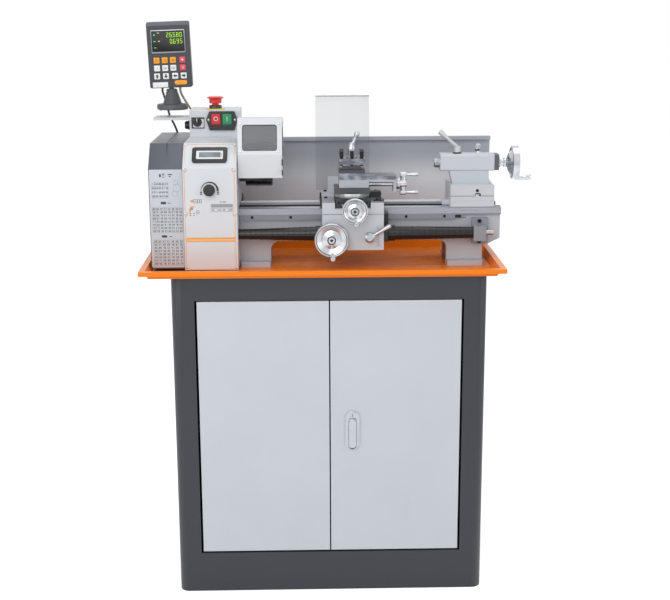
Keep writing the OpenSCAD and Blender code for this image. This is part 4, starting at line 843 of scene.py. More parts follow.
class LATHE_OT_cables(Step, bpy.types.Operator):
    """The readout's black cable and the pale one beside it"""
    bl_idname = "lathe.cables"
    bl_label = "Cables"

    def execute(self, context):
        for name, route, radius, colour in (
                ("cable_black", BLACK_ROUTE, 2.5, tone(34, 34, 37)),
                ("cable_grey", GREY_ROUTE, 2.7, tone(176, 160, 140))):
            line = smooth_line(route, 10)
            shape = Shape()
            shape.tube(line, radius, 20)
            cable = shape.piece(name + "_sleeve", plastic(name + " sheath", colour, 0.42))
            Vector(route[4]) * MM
            Vector(route[1]) * MM
            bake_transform(cable)
            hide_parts(name)
            length = sum((b - a).length for a, b in zip(line, line[1:])) * MM
            Vector(route[0]) * MM
            radius * 2 * MM
            [p * MM for p in line]
        return {"FINISHED"}


# ---------- stand ----------

class LATHE_OT_stand(Step, bpy.types.Operator):
    """Cabinet, doors, latch, chip tray and splash sheet"""
    bl_idname = "lathe.stand"
    bl_label = "Stand"

    def execute(self, context):
        coat("cabinet_body", powder_coat("slate powder coat", self.paint("slate"), 0.42))
        coat("door_left door_right", powder_coat("door powder coat", self.paint("door"), 0.5))
        chrome = milled_steel("satin chrome", tone(178, 182, 188), 0.3, (1, 1, 0.1))
        coat("latch_plate latch_lever", chrome)
        coat("chip_tray", gloss_paint("tray gloss", self.paint("tray")))
        sheet = rolled_sheet("rolled sheet")
        coat("backsplash", sheet)
        coat("mounting_bolts", milled_steel("zinc plate", tone(190, 190, 184), 0.36, EVEN))
        soften("cabinet_body door_left door_right chip_tray", 0.8)
        soften("latch_plate latch_lever", 0.9)
        self.lock(chrome)
        self.splash_sheet(chrome, sheet)
        return {"FINISHED"}

    def lock(self, chrome):
        """Barrel of the lock above the latch's lever."""
        low, high = span("latch_plate")
        place = at((low.x + high.x) / 2, low.y, high.z - 9.5)
        barrel = Shape()
        barrel.revolve([(0, -1.2), (4.2, -1.2), (4.6, -0.8), (4.6, 0)], place, 32)
        barrel.piece("latch_lock", chrome, "door_r")
        slot = Shape()
        slot.block(-0.7, 0.7, -1.25, -1.1, -2.6, 2.6, turn=place)
        slot.piece("latch_lock_slot", shared("dark gap"), "door_r")

    def splash_sheet(self, chrome, sheet):
        """Screws on its back, and the fold that reaches behind the headstock."""
        low, high = span("backsplash")
        screws = Shape()
        for x in (-140, 108, 356):
            pan_screw(screws, at(x, high.y, TRAY_HIGH.z - 5, ("Z", 180)), 4.2, 2.2)
        screws.piece("splash_sheet_screws", chrome, "frame")
        left = -214
        fold = Shape()
        fold.block(left, low.x + 0.5, high.y - 1.4, high.y - 0.1, low.z + 14, high.z, 0.3)
        fold.piece("splash_sheet_fold", sheet, "frame")


# ---------- bed ----------

def rails_and_rack(x, y, z):
    """Where the bed is ground: its rails, and the rack below the front one."""
    rack = (z > (WAY_Z - 26.5) * MM) * (y < -55.6 * MM)
    return (z > RAIL_FOOT_Z * MM) + rack > 0.5


def painted_trough_shade(x, y, z):
    """Painted shade: dark paint in the gap between the rails, below their tops, for the shade that
    falls there.
    """
    return (abs(y) < 30.5 * MM) * (z < (WAY_Z - 5.2) * MM)


class LATHE_OT_bed(Step, bpy.types.Operator):
    """Bed with its ground ways, rack screws, leadscrew and the screw's bearings"""
    bl_idname = "lathe.bed"
    bl_label = "Bed"

    def execute(self, context):
        # the bed: ground rails and rack, with painted shade in the gap between the rails
        coat("bed", cast_paint("bed casting", self.paint("bed"), rails_and_rack, painted_trough_shade))
        coat("headstock", cast_paint("small casting", self.paint("casting")))
        coat("screw_brackets", cast_paint("bracket casting", tone(138, 141, 148)))
        low, high = span("leadscrew")
        middle = (low.z + high.z) / 2
        coat("leadscrew", turned_steel("leadscrew thread", "X", LEADSCREW_Y, middle, 0.95))
        soften("screw_brackets", 1.2)
        self.rack()
        self.bearings()
        return {"FINISHED"}

    def rack(self):
        """Screws along the rack, and flat black patches of painted shade in the notch at its end."""
        first, apart, face = -165, 87.7, -62
        screws = Shape()
        for k in range(6):
            cap_screw(screws, at(first + apart * k, BED_LOW.y + 14, WAY_Z - 19.5), 3.4, 0.9)
        # painted shade: two flat black patches for the dark gap at the rack's end
        screws.block(297.6, 311.4, face - 0.2, face, WAY_Z - 23, WAY_Z - 17)
        screws.block(311.4, 322.8, face - 0.2, face, WAY_Z - 23, WAY_Z - 21.6)
        screws.piece("rack_screws", shared("black screws"), "frame")

    def bearings(self):
        """Screws of the leadscrew's right and left bearings."""
        low, high = span("screw_brackets")
        heads = Shape()
        for z in (low.z + 5.5, high.z - 5.5):
            cap_screw(heads, at(353, -69.95, z), 4.4, 1.6)
        for z in (low.z + 21, high.z - 20):
            cap_screw(heads, at(-290, -102, z), 3.2, 2.6)
        heads.piece("bearing_screws", shared("black screws"), "frame")


# ---------- headstock ----------

PANEL_Y = HEAD_LOW.y
PANEL_SCREW_HEIGHTS = (883, 981)
SLOPE_Z = AXIS_Z + 6
SLOPE = Vector((-70 - PANEL_Y, HEAD_HIGH.z - SLOPE_Z))
SLOPE_LONG = SLOPE.length
SLOPE_ANGLE = math.degrees(math.atan2(SLOPE.x, SLOPE.y))


def panel(lift=0.2):
    """Lays prints on the folded panel, by X and by the height run up its face."""
    def lay(x, up):
        run = up - SLOPE_Z
        if run <= 0:
            return (x, PANEL_Y - lift, up)
        along = SLOPE * (run / SLOPE_LONG)
        out = Vector((-SLOPE.y, SLOPE.x)) / SLOPE_LONG * lift
        return (x, PANEL_Y + along.x + out.x, SLOPE_Z + along.y + out.y)
    return lay


def stripe(shape, points, width, lay):
    """A flat closed line of even width through points, mitred at its corners."""
    p = [Vector(q) for q in points]
    sides = []
    for i, here in enumerate(p):
        before = (here - p[i - 1]).normalized()
        after = (p[(i + 1) % len(p)] - here).normalized()
        across = Vector((-before.y - after.y, before.x + after.x)).normalized()
        reach = width / 2 / max(0.4, across.dot(Vector((-before.y, before.x))))
        sides.append((here + across * reach, here - across * reach))
    for a, b in zip(sides, sides[1:] + sides[:1]):
        shape.quad([lay(*a[0]), lay(*b[0]), lay(*b[1]), lay(*a[1])])


def ruled(shape, x0, x1, z0, z1, width, lay):
    """A rectangle of thin lines."""
    stripe(shape, [(x0, z0), (x1, z0), (x1, z1), (x0, z1)], width, lay)


def patch(shape, x0, x1, z0, z1, lay):
    """A flat rectangle."""
    shape.quad([lay(x0, z0), lay(x1, z0), lay(x1, z1), lay(x0, z1)])


def spot(shape, x, z, wide, tall, lay):
    """A flat rectangle about a point."""
    patch(shape, x - wide / 2, x + wide / 2, z - tall / 2, z + tall / 2, lay)


def disc(shape, x, z, r, lay, inner=0.0, start=0, end=360, steps=24):
    """A flat disc, ring or part of one."""
    outer = arc(x, z, r, start, end, steps)
    hole = arc(x, z, inner, start, end, steps)
    for i in range(steps):
        if inner:
            shape.quad([lay(*outer[i]), lay(*outer[i + 1]), lay(*hole[i + 1]), lay(*hole[i])])
        else:
            shape.quad([lay(*outer[i]), lay(*outer[i + 1]), lay(x, z)])


def table(shape, x0, x1, z0, z1, rows, columns, lay, size):
    """A printed table of plain two-figure numbers, with lines round it and beside its heads."""
    ruled(shape, x0, x1, z0, z1, 0.25, lay)
    wide, tall = (x1 - x0) / columns, (z1 - z0) / rows
    patch(shape, x0 + wide - 0.15, x0 + wide + 0.15, z0, z1, lay)
    patch(shape, x0, x1, z1 - tall - 0.15, z1 - tall + 0.15, lay)
    figure = size * 0.55
    for r in range(rows):
        for c in range(columns):
            number = str(20 + (17 * r + 29 * c + 5 * r * c) % 70)
            digits(shape, number, x0 + (c + 0.5) * wide - figure * 2.3 / 2,
                   z0 + (r + 0.5) * tall - size / 2, figure, size, 0.7, lay)


class LATHE_OT_headstock(Step, bpy.types.Operator):
    """Head cover with its printed panel, display and speed knob"""
    bl_idname = "lathe.headstock"
    bl_label = "Headstock"

    def execute(self, context):
        coat("head_cover", self.housing_paint())
        soften("head_cover", 0.8)
        coat("speed_knob", shared("black moulding"))
        soften("speed_knob", 0.4)
        coat("spindle_bearings", turned_steel("bearing rings", "X", 0, AXIS_Z, 0.9))
        self.border()
        self.display()
        self.black_prints()
        self.grey_prints()
        self.screws()
        return {"FINISHED"}

    def border(self):
        """Orange print: a frame that runs round the screws, two bands and three marks."""
        lay = panel()
        x0, x1, foot, top = -310.4, -199.8, 759.0, SLOPE_Z + SLOPE_LONG * 0.95
        cut, round_screw = 6, 5.2
        line = [(x0 + cut, foot), (x1 - cut, foot), (x1, foot + cut)]
        for z in PANEL_SCREW_HEIGHTS:
            line += arc(x1, z, round_screw, -90, -270)
        line += [(x1, SLOPE_Z), (x1, top - cut), (x1 - cut, top),
                 (x0 + cut, top), (x0, top - cut), (x0, SLOPE_Z)]
        for z in reversed(PANEL_SCREW_HEIGHTS):
            line += arc(x0, z, round_screw, 90, -90)
        line += [(x0, foot + cut)]
        shape = Shape()
        stripe(shape, line, 1.15, lay)
        for low, high in ((826.4, 830.7), (821.0, 824.4)):
            patch(shape, x0 + 1, x1 - 1, low, high, lay)
        for x, z, wide, tall in ((-294.7, 912.6, 7, 4.6), (-293.6, 900.3, 9, 2.4),
                                 (-299.5, 890.8, 3.4, 9)):
            spot(shape, x, z, wide, tall, lay)
        ink = printed("orange ink", self.paint("print_orange"), 0.45)
        shape.piece("panel_orange_print", ink, "frame")

    def display(self):
        """Speed display on the slope. Heights are shares of the slope's length."""
        turn = at(0, PANEL_Y, SLOPE_Z, ("X", -SLOPE_ANGLE))
        glass = plastic("grey glass", tone(128, 136, 142), 0.12)
        for name, x0, x1, low, high, near, far, corner, edge, material in (
                ("bezel", -294.0, -215.4, 0.21, 0.80, 0.1, 3.6, 5, 0.9, shared("black moulding")),
                ("frame", -284.3, -225.2, 0.33, 0.65, 3.5, 4.1, 1.5, 0.3, shared("white moulding")),
                ("glass", -278.1, -230.7, 0.39, 0.595, 4.0, 4.25, 0.8, 0.1, glass)):
            outline = rounded(x0, x1, low * SLOPE_LONG, high * SLOPE_LONG, corner)
            slab("display_" + name, outline, -far, -near, turn, edge, material, "frame")
        shape = Shape()
        digits(shape, "1500", -251, SLOPE_Z + 0.42 * SLOPE_LONG, 4.2, 9.5, 0.9, panel(4.4), 1.45)
        shape.piece("display_digits", printed("dark digits", tone(70, 76, 80), 0.3), "frame")

    def rising_arc(self, ink, lay):
        """An arc over the speed knob that widens with the speed."""
        x, z, steps, turn = -254.6, 936, 24, 8
        for k in range(steps):
            a0, a1 = 188 - k * turn, 180 - k * turn
            t0, t1 = k / steps, (k + 1) / steps
            outer = arc(x, z, 20, a0, a1, 1)
            inner = [arc(x, z, 19.3 - 4.2 * t, a, a, 1)[0] for a, t in ((a0, t0), (a1, t1))]
            ink.quad([lay(*outer[0]), lay(*outer[1]), lay(*inner[1]), lay(*inner[0])])

    def black_prints(self):
        """Symbols round the speed knob, and the row of speeds below it."""
        lay = panel()
        ink = Shape()
        self.rising_arc(ink, lay)
        for x in (-275.2, -272.6, -237.6, -235.2):
            for z in (928.3, 932.2):
                spot(ink, x, z, 2.3, 2.6, lay)
        disc(ink, -282.5, 888, 4.2, lay, 3.5)
        patch(ink, -285, -280, 887.6, 888.4, lay)
        for x0, x1 in ((-291.5, -283.4), (-282, -273.7)):
            ruled(ink, x0, x1, 908.8, 916.2, 0.7, lay)
        patch(ink, -278.6, -277.2, 910.4, 914.6, lay)
        patch(ink, -289, -286, 911.8, 913, lay)
        for z in (880, 884.5):
            patch(ink, -300.5, -297, z, z + 1.4, lay)
            patch(ink, -292.5, -289.5, z, z + 1.4, lay)
        disc(ink, -231, 910.5, 1.7, lay, 1.0)
        patch(ink, -227.5, -219.5, 909.7, 911.3, lay)
        ruled(ink, -252.7, -204.2, 889, 896.8, 0.5, lay)
        for speed, x in (("50", -250), ("1250", -240), ("100", -228), ("2500", -215)):
            digits(ink, speed, x, 891, 1.8, 3.8, 0.42, lay)
        ink.piece("panel_black_print", shared("black ink"), "frame")

    def grey_prints(self):
        """The grey head over the row of speeds, and one grey symbol."""
        lay = panel()
        grey = Shape()
        patch(grey, -252.7, -204.2, 898.5, 906, lay)
        patch(grey, -299, -292.6, 893, 899.0, lay)
        grey.piece("panel_grey_print", printed("grey ink", tone(150, 154, 160), 0.5), "frame")

    def screws(self):
        shape = Shape()
        for x in (-310.2, -200.0):
            for z in PANEL_SCREW_HEIGHTS:
                pan_screw(shape, at(x, PANEL_Y, z), 3.1, 1.7)
            up = panel(0)(x, SLOPE_Z + SLOPE_LONG * 0.9)
            pan_screw(shape, at(*up, ("X", -SLOPE_ANGLE)), 2.6, 1.5)
            pan_screw(shape, at(x, PANEL_Y, 761.5), 2.4, 1.4)
        shape.piece("panel_screws", shared("zinc screws"), "frame")


# ---------- switches ----------

class LATHE_OT_switches(Step, bpy.types.Operator):
    """Switch box with selector, start, stop and emergency stop"""
    bl_idname = "lathe.switches"
    bl_label = "Switches"

    def execute(self, context):
        coat("switch_box", self.housing_paint())
        soften("switch_box", 1.2)
        coat("switch_plates", banded("switch mouldings", tone(30, 31, 34), tone(240, 215, 60),
                                     BOX_HIGH.z - 0.2, BOX_HIGH.z + 2.02))
        coat("selector_knob", shared("black moulding"))
        coat("stop_button", plastic("red button", tone(206, 40, 44), 0.34))
        coat("start_button", plastic("green button", tone(36, 142, 92), 0.34))
        coat("emergency_stop", plastic("red mushroom", tone(222, 38, 36), 0.3))
        soften("selector_knob start_button stop_button", 0.8)
        soften("switch_plates", 0.4)
        white = shared("white moulding")
        self.selector(white)
        self.buttons(white)
        self.stop_arrows(white)
        self.screws()
        return {"FINISHED"}

    def selector(self, white):
        face = BOX_LOW.y
        slab("selector_tile", rounded(-304.5, -279.6, AXIS_Z + 77.4, AXIS_Z + 97.3, 2.5),
             face - 2.0, face - 1.1, None, 0.4, white, "frame")
        pointer = Shape()
        pointer.block(-295.2, -293.8, face - 15.5, face - 14.9, AXIS_Z + 92, AXIS_Z + 100)
        pointer.piece("selector_pointer", white, "selector")

    def buttons(self, white):
        """A ring or a bar on each button, and its dark lower part."""
        face = BOX_LOW.y
        for name, x, dark in (("stop", -250.8, tone(120, 24, 30)),
                              ("start", -224.7, tone(24, 92, 62))):
            mark = Shape()
            lay = facing(face - 8.75, x, AXIS_Z + 98)
            if name == "stop":
                disc(mark, 0, 0, 5.2, lay, 3.9)
            else:
                patch(mark, -0.8, 0.8, -5, 5, lay)
            mark.piece(name + "_mark", white, name)
            band = Shape()
            band.block(x - 10.2, x + 10.2, face - 8.9, face - 8.3, AXIS_Z + 83.2, AXIS_Z + 87, 0.25)
            band.piece(name + "_band", plastic(name + " dark band", dark, 0.3), name)

    def stop_arrows(self, white):
        """Three arrows round the top of the emergency stop."""
        x, y, top = -254, 112, span("emergency_stop")[1].z + 0.12
        arrows = Shape()
        for start in (20, 140, 260):
            disc(arrows, x, y, 13, lambda a, b: (a, b, top), 11.6, start, start + 70, 10)
            tip = math.radians(start + 70)
            arrows.quad([(x + r * math.cos(a), y + r * math.sin(a), top)
                         for r, a in ((14.6, tip), (12.3, tip + 0.22), (10.2, tip))])
        arrows.piece("emergency_stop_arrows", white, "estop")

    def screws(self):
        screws = Shape()
        for x in (-268.2, -206.4):
            pan_screw(screws, at(x, BOX_LOW.y - 6, AXIS_Z + 95), 2.7, 1.4)
        for x in (BOX_LOW.x + 6, BOX_HIGH.x - 6):
            for z in (BOX_LOW.z + 8, BOX_HIGH.z - 8):
                pan_screw(screws, at(x, BOX_HIGH.y, z, ("Z", 180)), 2.6, 1.5)
        screws.piece("switch_box_screws", shared("zinc screws"), "frame")


# ---------- gear cover ----------

class LATHE_OT_gear_cover(Step, bpy.types.Operator):
    """Gear cover with its screws and the printed plate of change-gear tables"""
    bl_idname = "lathe.gear_cover"
    bl_label = "Gear cover"

    def execute(self, context):
        coat("end_cover", powder_coat("cover powder coat", self.paint("cover"), 0.32))
        soften("end_cover", 1.0)
        self.plate()
        self.seam()
        screws = Shape()
        for y, z in ((-100, 780), (-60, 1018), (130, 816), (130, 1018)):
            cap_screw(screws, at(END_LOW.x, y, z, ("Z", -90)), 3.4, 2.4)
        screws.piece("gear_cover_screws", shared("black screws"), "frame")
        return {"FINISHED"}

    def plate(self):
        """Enamelled plate with small marks, a train of three gears and three tables."""
        x0, x1, z0, z1 = -388.4, -315.4, 762, 982.5
        front = END_LOW.y
        slab("gear_plate", rounded(x0, x1, z0, z1, 3), front - 0.5, front, None, 0.15,
             shared("plate enamel"), "frame")
        lay = facing(front - 0.6)

        def share(u, v):
            """A place on the plate, by shares of its width and height from its upper left."""
            return x0 + (x1 - x0) * u, z1 - (z1 - z0) * v

        ink = Shape()
        for u0, v0, u1, v1 in ((0.31, 0.045, 0.36, 0.075), (0.40, 0.04, 0.47, 0.05),
                               (0.57, 0.045, 0.70, 0.055), (0.60, 0.066, 0.66, 0.075),
                               (0.33, 0.325, 0.49, 0.35), (0.54, 0.335, 0.62, 0.342),
                               (0.33, 0.667, 0.49, 0.69), (0.56, 0.676, 0.64, 0.683)):
            (left, low), (right, high) = share(u0, v1), share(u1, v0)
            patch(ink, left, right, low, high, lay)
        disc(ink, *share(0.43, 0.068), 3, lay, 2.3)
        for u, v, r in ((0.80, 0.13, 5.5), (0.83, 0.185, 8.6), (0.76, 0.245, 6)):
            teeth = int(r * 2.2)
            for k in range(teeth):
                tooth = arc(*share(u, v), r, 360 * k / teeth, 360, 1)[0]
                disc(ink, *tooth, 0.6, lay, steps=6)
        for u0, u1, v0, v1, rows, columns, size in ((0.07, 0.57, 0.126, 0.29, 4, 5, 4.0),
                                                    (0.06, 0.98, 0.383, 0.64, 8, 8, 4.2),
                                                    (0.07, 0.98, 0.715, 0.975, 8, 7, 4.2)):
            (left, low), (right, high) = share(u0, v1), share(u1, v0)
            table(ink, left, right, low, high, rows, columns, lay, size)
        ink.piece("gear_plate_print", printed("plate ink", tone(46, 48, 54), 0.5), "frame")

    def seam(self):
        """A thin dark line along the cover's top."""
        x0, x1, y0, y1, top = -353.2, -350.8, END_LOW.y + 12, 177, END_HIGH.z + 0.06
        seam = Shape()
        seam.quad([(x0, y0, top), (x1, y0, top), (x1, y1, top), (x0, y1, top)])
        seam.piece("gear_cover_seam", shared("dark ink"), "frame")


# ---------- spindle, chuck and guard ----------

class LATHE_OT_chuck(Step, bpy.types.Operator):
    """Spindle, three-jaw chuck and its guard"""
    bl_idname = "lathe.chuck"
    bl_label = "Chuck"

    def execute(self, context):
        jaws = "chuck_jaw_1 chuck_jaw_2 chuck_jaw_3"
        # the spindle and chuck carry painted shade, from their shared finish
        coat("spindle chuck_body", shared("turned chuck"))
        coat(jaws, milled_steel("hardened jaws", tone(92, 94, 98), 0.34, (0.1, 1, 1)))
        coat("chuck_guard", self.housing_paint())
        coat("guard_window", clear_sheet("smoked window", tone(96, 100, 106), 0.62))
        soften("chuck_guard", 0.7)
        soften(jaws, 0.5)
        self.guard_trim()
        return {"FINISHED"}

    def guard_trim(self):
        """Edge and screws of the window on the guard's sloping face, and the seal beside it."""
        x0, x1 = HEAD_HIGH.x + 2, GUARD_HIGH.x
        foot, head = Vector((-100, AXIS_Z + 33)), Vector((-80, AXIS_Z + 111))
        lean = (head - foot).normalized()
        tilt = math.degrees(math.atan2(lean.x, lean.y))
        face = at(0, foot.x, foot.y, ("X", -tilt))
        lay = lying(face, 0.2)
        outer = [lay(*p) for p in rounded(x0 + 10.2, x1 - 11.2, 8.4, 66.6, 5.8)]
        inner = [lay(*p) for p in rounded(x0 + 11.4, x1 - 12.4, 9.6, 65.4, 4.6)]
        edge = Shape()
        for a, b, c, d in zip(outer, outer[1:] + outer[:1], inner[1:] + inner[:1], inner):
            edge.quad([a, b, c, d])
        edge.piece("window_edge", shared("black ink"), "guard")
        screws = Shape()
        for x in (x0 + 6.5, x1 - 7.5):
            for z in (7.5, 68.5):
                pan_screw(screws, face @ at(x, 0, z), 2.7, 1.5)
        screws.piece("window_screws", shared("zinc screws"), "guard")
        seal = Shape()
        for z0, z1 in ((-2, 62), (-24, -10), (-46, -34)):
            seal.block(x1 - 1.5, x1 + 1.6, 3.0, 9.5, z0, z1, 0.4, turn=face)
        seal.piece("guard_side_seal", shared("black moulding"), "guard")


# ---------- carriage ----------

def saddle_wings(x, y, z):
    """Where the saddle is ground: the tops of its wings."""
    return (z > (WING_Z - 0.4) * MM) * (z < (WING_Z + 0.2) * MM)


def saddle_end(x, y, z):
    """The saddle's dark upper right end."""
    return (z > (WING_Z + 0.6) * MM) * (x > 98 * MM)


def tube_cover(stages, y, z):
    """Nested tubes with rolled rims about a line along X. Each stage is (start, end, radius)."""
    bore = 9
    profile = [(bore, stages[0][0])]
    for start, end, r in stages:
        profile += [(r + 0.6, start), (r + 0.6, start + 1.6), (r, start + 2.2), (r, end)]
    profile.append((bore, stages[-1][1]))
    return Shape().revolve(profile, at(0, y, z, ("Z", -90)), 64)


def ticks(shape, turn, r, near, lengths, count, width):
    """Marks round a drum about the Y axis, before the turn."""
    for k in range(count):
        a = math.radians(360 * k / count)
        far = near + lengths[k % len(lengths)]
        corners = []
        for along, y in ((-width, near), (width, near), (width, far), (-width, far)):
            b = a + along / r
            corners.append(turn @ Vector(((r + 0.12) * math.cos(b), y, (r + 0.12) * math.sin(b))))
        shape.quad(corners)


class LATHE_OT_carriage(Step, bpy.types.Operator):
    """Saddle, apron, wheels, half-nut lever, screw covers and splash shield"""
    bl_idname = "lathe.carriage"
    bl_label = "Carriage"

    def execute(self, context):
        casting = self.paint("casting")
        coat("saddle", cast_paint("saddle casting", casting, saddle_wings, saddle_end))
        coat("apron", cast_paint("small casting", casting))
        soften("saddle apron", 1.2)
        for node, (x, z) in (("apron_wheel", APRON_HUB), ("cross_wheel", CROSS_HUB)):
            coat(node, turned_steel(node + " polish", "Y", x, z, 1.16))
        coat("half_nut_lever", shared("polished lever"))
        coat("half_nut", milled_steel("bronze", tone(184, 140, 78), 0.36, (0.1, 1, 1)))
        coat("splash_shield", clear_sheet("clear sheet", tone(122, 128, 138), 0.15))
        self.covers()
        self.wipers()
        self.screws()
        self.shield_edge()
        self.wheel_marks()
        self.plate()
        self.dials()
        return {"FINISHED"}

    def covers(self):
        """Tubes that slide into one another over the leadscrew, at both sides of the apron."""
        rubber = plastic("black tube", tone(26, 27, 30), 0.22, 0.4)
        ring, mouth, left_stages = 17.6, 15, 14
        collar, right_stages = 27, 13
        left, right = span("screw_cover_left"), span("screw_cover_right")
        y, z = LEADSCREW_Y, (left[0].z + left[1].z) / 2
        x0, x1 = left[0].x, left[1].x
        step = (x1 - mouth - x0) / left_stages
        shape = tube_cover([(x0 + k * step, x0 + (k + 1) * step, 11.2 + 0.36 * k)
                            for k in range(left_stages)] + [(x1 - mouth, x1, ring)], y, z)
        piece = shape.piece("screw_cover_left_tubes", rubber, smooth=40)
        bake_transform(piece)
        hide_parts("screw_cover_left")
        x0, x1 = right[0].x, right[1].x
        step = (x1 - x0 - collar) / right_stages
        shape = tube_cover([(-x1 + k * step, -x1 + (k + 1) * step, 13.2 + 0.16 * k)
                            for k in range(right_stages)] + [(-x0 - collar, -x0 - 12, ring)],
                           -y, z)
        bmesh.ops.transform(shape.bm, matrix=Matrix.Rotation(math.pi, 4, "Z"), verts=shape.bm.verts)
        shape.block(x0, x0 + 11.7, y - 15, -66, z - 17, z + 48, 1.0)
        piece = shape.piece("screw_cover_right_tubes", rubber, smooth=40)
        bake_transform(piece)
        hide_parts("screw_cover_right")

    def wipers(self):
        """A wiper over each rail, at both ends of the saddle."""
        across = Matrix.Rotation(math.radians(90), 4, "Z") @ Matrix.Scale(-1, 4, (0, 1, 0))
        foot, shoulder, top = WAY_Z + 4, WAY_Z + 17, WAY_Z + 20
        wipers = Shape()
        for x, out in ((SADDLE_LOW.x, -4), (SADDLE_HIGH.x, 4)):
            for side in (-1, 1):
                inner, outer = sorted((side * 36, side * 61))
                outline = [(inner, foot), (outer, foot), (outer, shoulder),
                           (outer - 4, top), (inner + 4, top), (inner, shoulder)]
                wipers.prism([(-y, z) for y, z in outline], min(x, x + out), max(x, x + out),
                             across, 0.5)
        wipers.piece("way_wipers", plastic("wiper rubber", tone(30, 31, 33), 0.6), "carriage")

    def screws(self):
        """Screws in the saddle's wings, and behind the shield's bracket."""
        x0, x1 = SADDLE_LOW.x, SADDLE_HIGH.x
        heads = Shape()
        for x, y in ((x0 + 9, -52), (x0 + 9, 52), (x1 - 9, 52)):
            cap_screw(heads, at(x, y, WING_Z, ("X", -90)), 4, 3)
        shield_y = span("splash_shield")[0].y
        for x in (25, 85):
            cap_screw(heads, at(x, shield_y + 3.1, WAY_Z + 40, ("Z", 180)), 4, 2.6)
        heads.piece("carriage_screws", shared("black screws"), "carriage")

    def shield_edge(self):
        """The shield's cut upper edge, where the sheet looks dense."""
        low, high = span("splash_shield")
        edge = Shape()
        edge.block(low.x, high.x, low.y + 0.2, high.y - 0.2, high.z - 1.2, high.z, 0.1)
        dense = clear_sheet("sheet edge", tone(96, 102, 112), 0.5)
        edge.piece("splash_shield_edge", dense, "carriage")

    def wheel_marks(self):
        """The slot in each wheel's grip, a black ring of painted shade for the gap round its hub, and
        the hexagon on the hub.
        """
        for node, (x, z), reach, turn, r, hub_in in (
                ("apron_wheel", APRON_HUB, 33, 3, 3.2, 44),
                ("cross_wheel", CROSS_HUB, 25, 5, 2.6, 24)):
            front = span(node)[0].y
            grip_x = x + reach * math.sin(math.radians(turn))
            grip_z = z - reach * math.cos(math.radians(turn))
            slot = Shape()
            slot.block(-r, r, 0.6, 1.25, -0.5, 0.5, turn=at(grip_x, front, grip_z, ("Y", 35)))
            slot.piece(node + "_grip_slot", shared("dark ink"), node)
            hub = Shape()
            face = at(x, front + hub_in, z)
            # painted shade: the black ring stands for the shadow in the gap round the hub
            hub.revolve([(7.4, 0), (7.4, -0.4), (9.6, -0.4), (9.6, 0)], face, 40)
            hub.revolve([(3.6, 0), (3.6, -0.5), (0, -0.5)], face, 6)
            hub.piece(node + "_hub_marks", shared("black screws"), node)

    def plate(self):
        """The apron's plate with its scale, and the seam between apron and saddle."""
        front = APRON_LOW.y
        slab("apron_plate", rounded(114.5, 126, 807, 858, 1), front + 4.55, front + 5, None, 0.1,
             shared("plate enamel"), "carriage")
        marks = Shape()
        lay = facing(front + 4.45)
        for k in range(15):
            patch(marks, 116.5, 120 if k % 3 else 124, 811 + k * 3, 811.7 + k * 3, lay)
        patch(marks, SADDLE_LOW.x + 1, SADDLE_HIGH.x - 1, 880.6, 881.5, lay)
        marks.piece("apron_plate_print", shared("dark ink"), "carriage")

    def dials(self):
        """Scales on the two wheels' drums."""
        front = APRON_LOW.y + 5
        for name, node, (x, z), out, r, near, lengths, count, width in (
                ("cross", "cross_wheel", CROSS_HUB, 33, 20, 6.8, (6, 3, 3, 3, 4.5, 3, 3, 3), 80, 0.28),
                ("apron", "apron_wheel", APRON_HUB, 9, 12, 0.3, (2.6, 1.6), 60, 0.25)):
            dial = Shape()
            ticks(dial, at(x, front - out, z), r, near, lengths, count, width)
            dial.piece(name + "_dial_marks", shared("dark ink"), node)


# ---------- slides and tool post ----------

class LATHE_OT_slides(Step, bpy.types.Operator):
    """Cross slide, swivel, top slide with its crank, and the four-way tool post"""
    bl_idname = "lathe.slides"
    bl_label = "Slides"

    def execute(self, context):
        left, right = span("cross_slide")
        top = right.z
        crank_z = top + 28
        dark = tone(66, 69, 75)
        coat("cross_slide", black_oxide("dark slide", dark))
        coat("compound_base", banded("swivel base", dark, tone(214, 215, 214), top - 0.2, top + 9.5))
        coat("top_slide", two_tone("top slide steel", tone(164, 168, 175), tone(126, 129, 138), 954.5))
        coat("tool_post", two_tone("blued tool post", tone(78, 80, 86), tone(124, 127, 135), 985))
        coat("tool_bolts", shared("black screws"))
        coat("post_lever", shared("polished lever"))
        coat("top_crank", turned_steel("crank polish", "X", TOP_SLIDE_Y, crank_z, 1.04))
        soften("cross_slide compound_base top_slide tool_post", 0.7)
        soften("tool_bolts", 0.5)
        self.screws(left, right)
        self.scales(top, crank_z)
        return {"FINISHED"}

    def screws(self, left, right):
        """Screws of the cross slide's gib and of its front end."""
        gibs = Shape()
        for y in (-90, -55, -20, 12):
            cap_screw(gibs, at(left.x, y, right.z - 10, ("Z", -90)), 2.4, 1.0)
        for x in (left.x + 7, right.x - 7):
            cap_screw(gibs, at(x, left.y, right.z - 9), 2.6, 1.0)
        gibs.piece("cross_gib_screws", shared("black screws"), "cross_slide")

    def scales(self, top, crank_z):
        """Marks round the swivel, with its zero, and round the crank's drum."""
        x, y, r = SWIVEL_X, TOP_SLIDE_Y, 38.5
        scale = Shape()
        ticks(scale, at(x, y, top, ("X", 90)), r, 1.5, (5, 3, 3, 3, 3), 72, 0.3)

        def lay(along, z):
            """A place on the swivel's rim."""
            out = r + 0.25
            return (x + out * math.sin(along / r), y - out * math.cos(along / r), z)

        digits(scale, "0", -1, top + 7.2, 1.4, 2, 0.3, lay)
        scale.piece("swivel_marks", shared("dark ink"), "compound")
        dial = Shape()
        end = span("top_slide")[1].x
        ticks(dial, at(end + 0.3, y, crank_z, ("Z", -90)), 13, 1.2, (5, 3, 3, 3, 4), 50, 0.28)
        dial.piece("top_dial_marks", shared("dark ink"), "top_crank")


# ---------- tailstock ----------

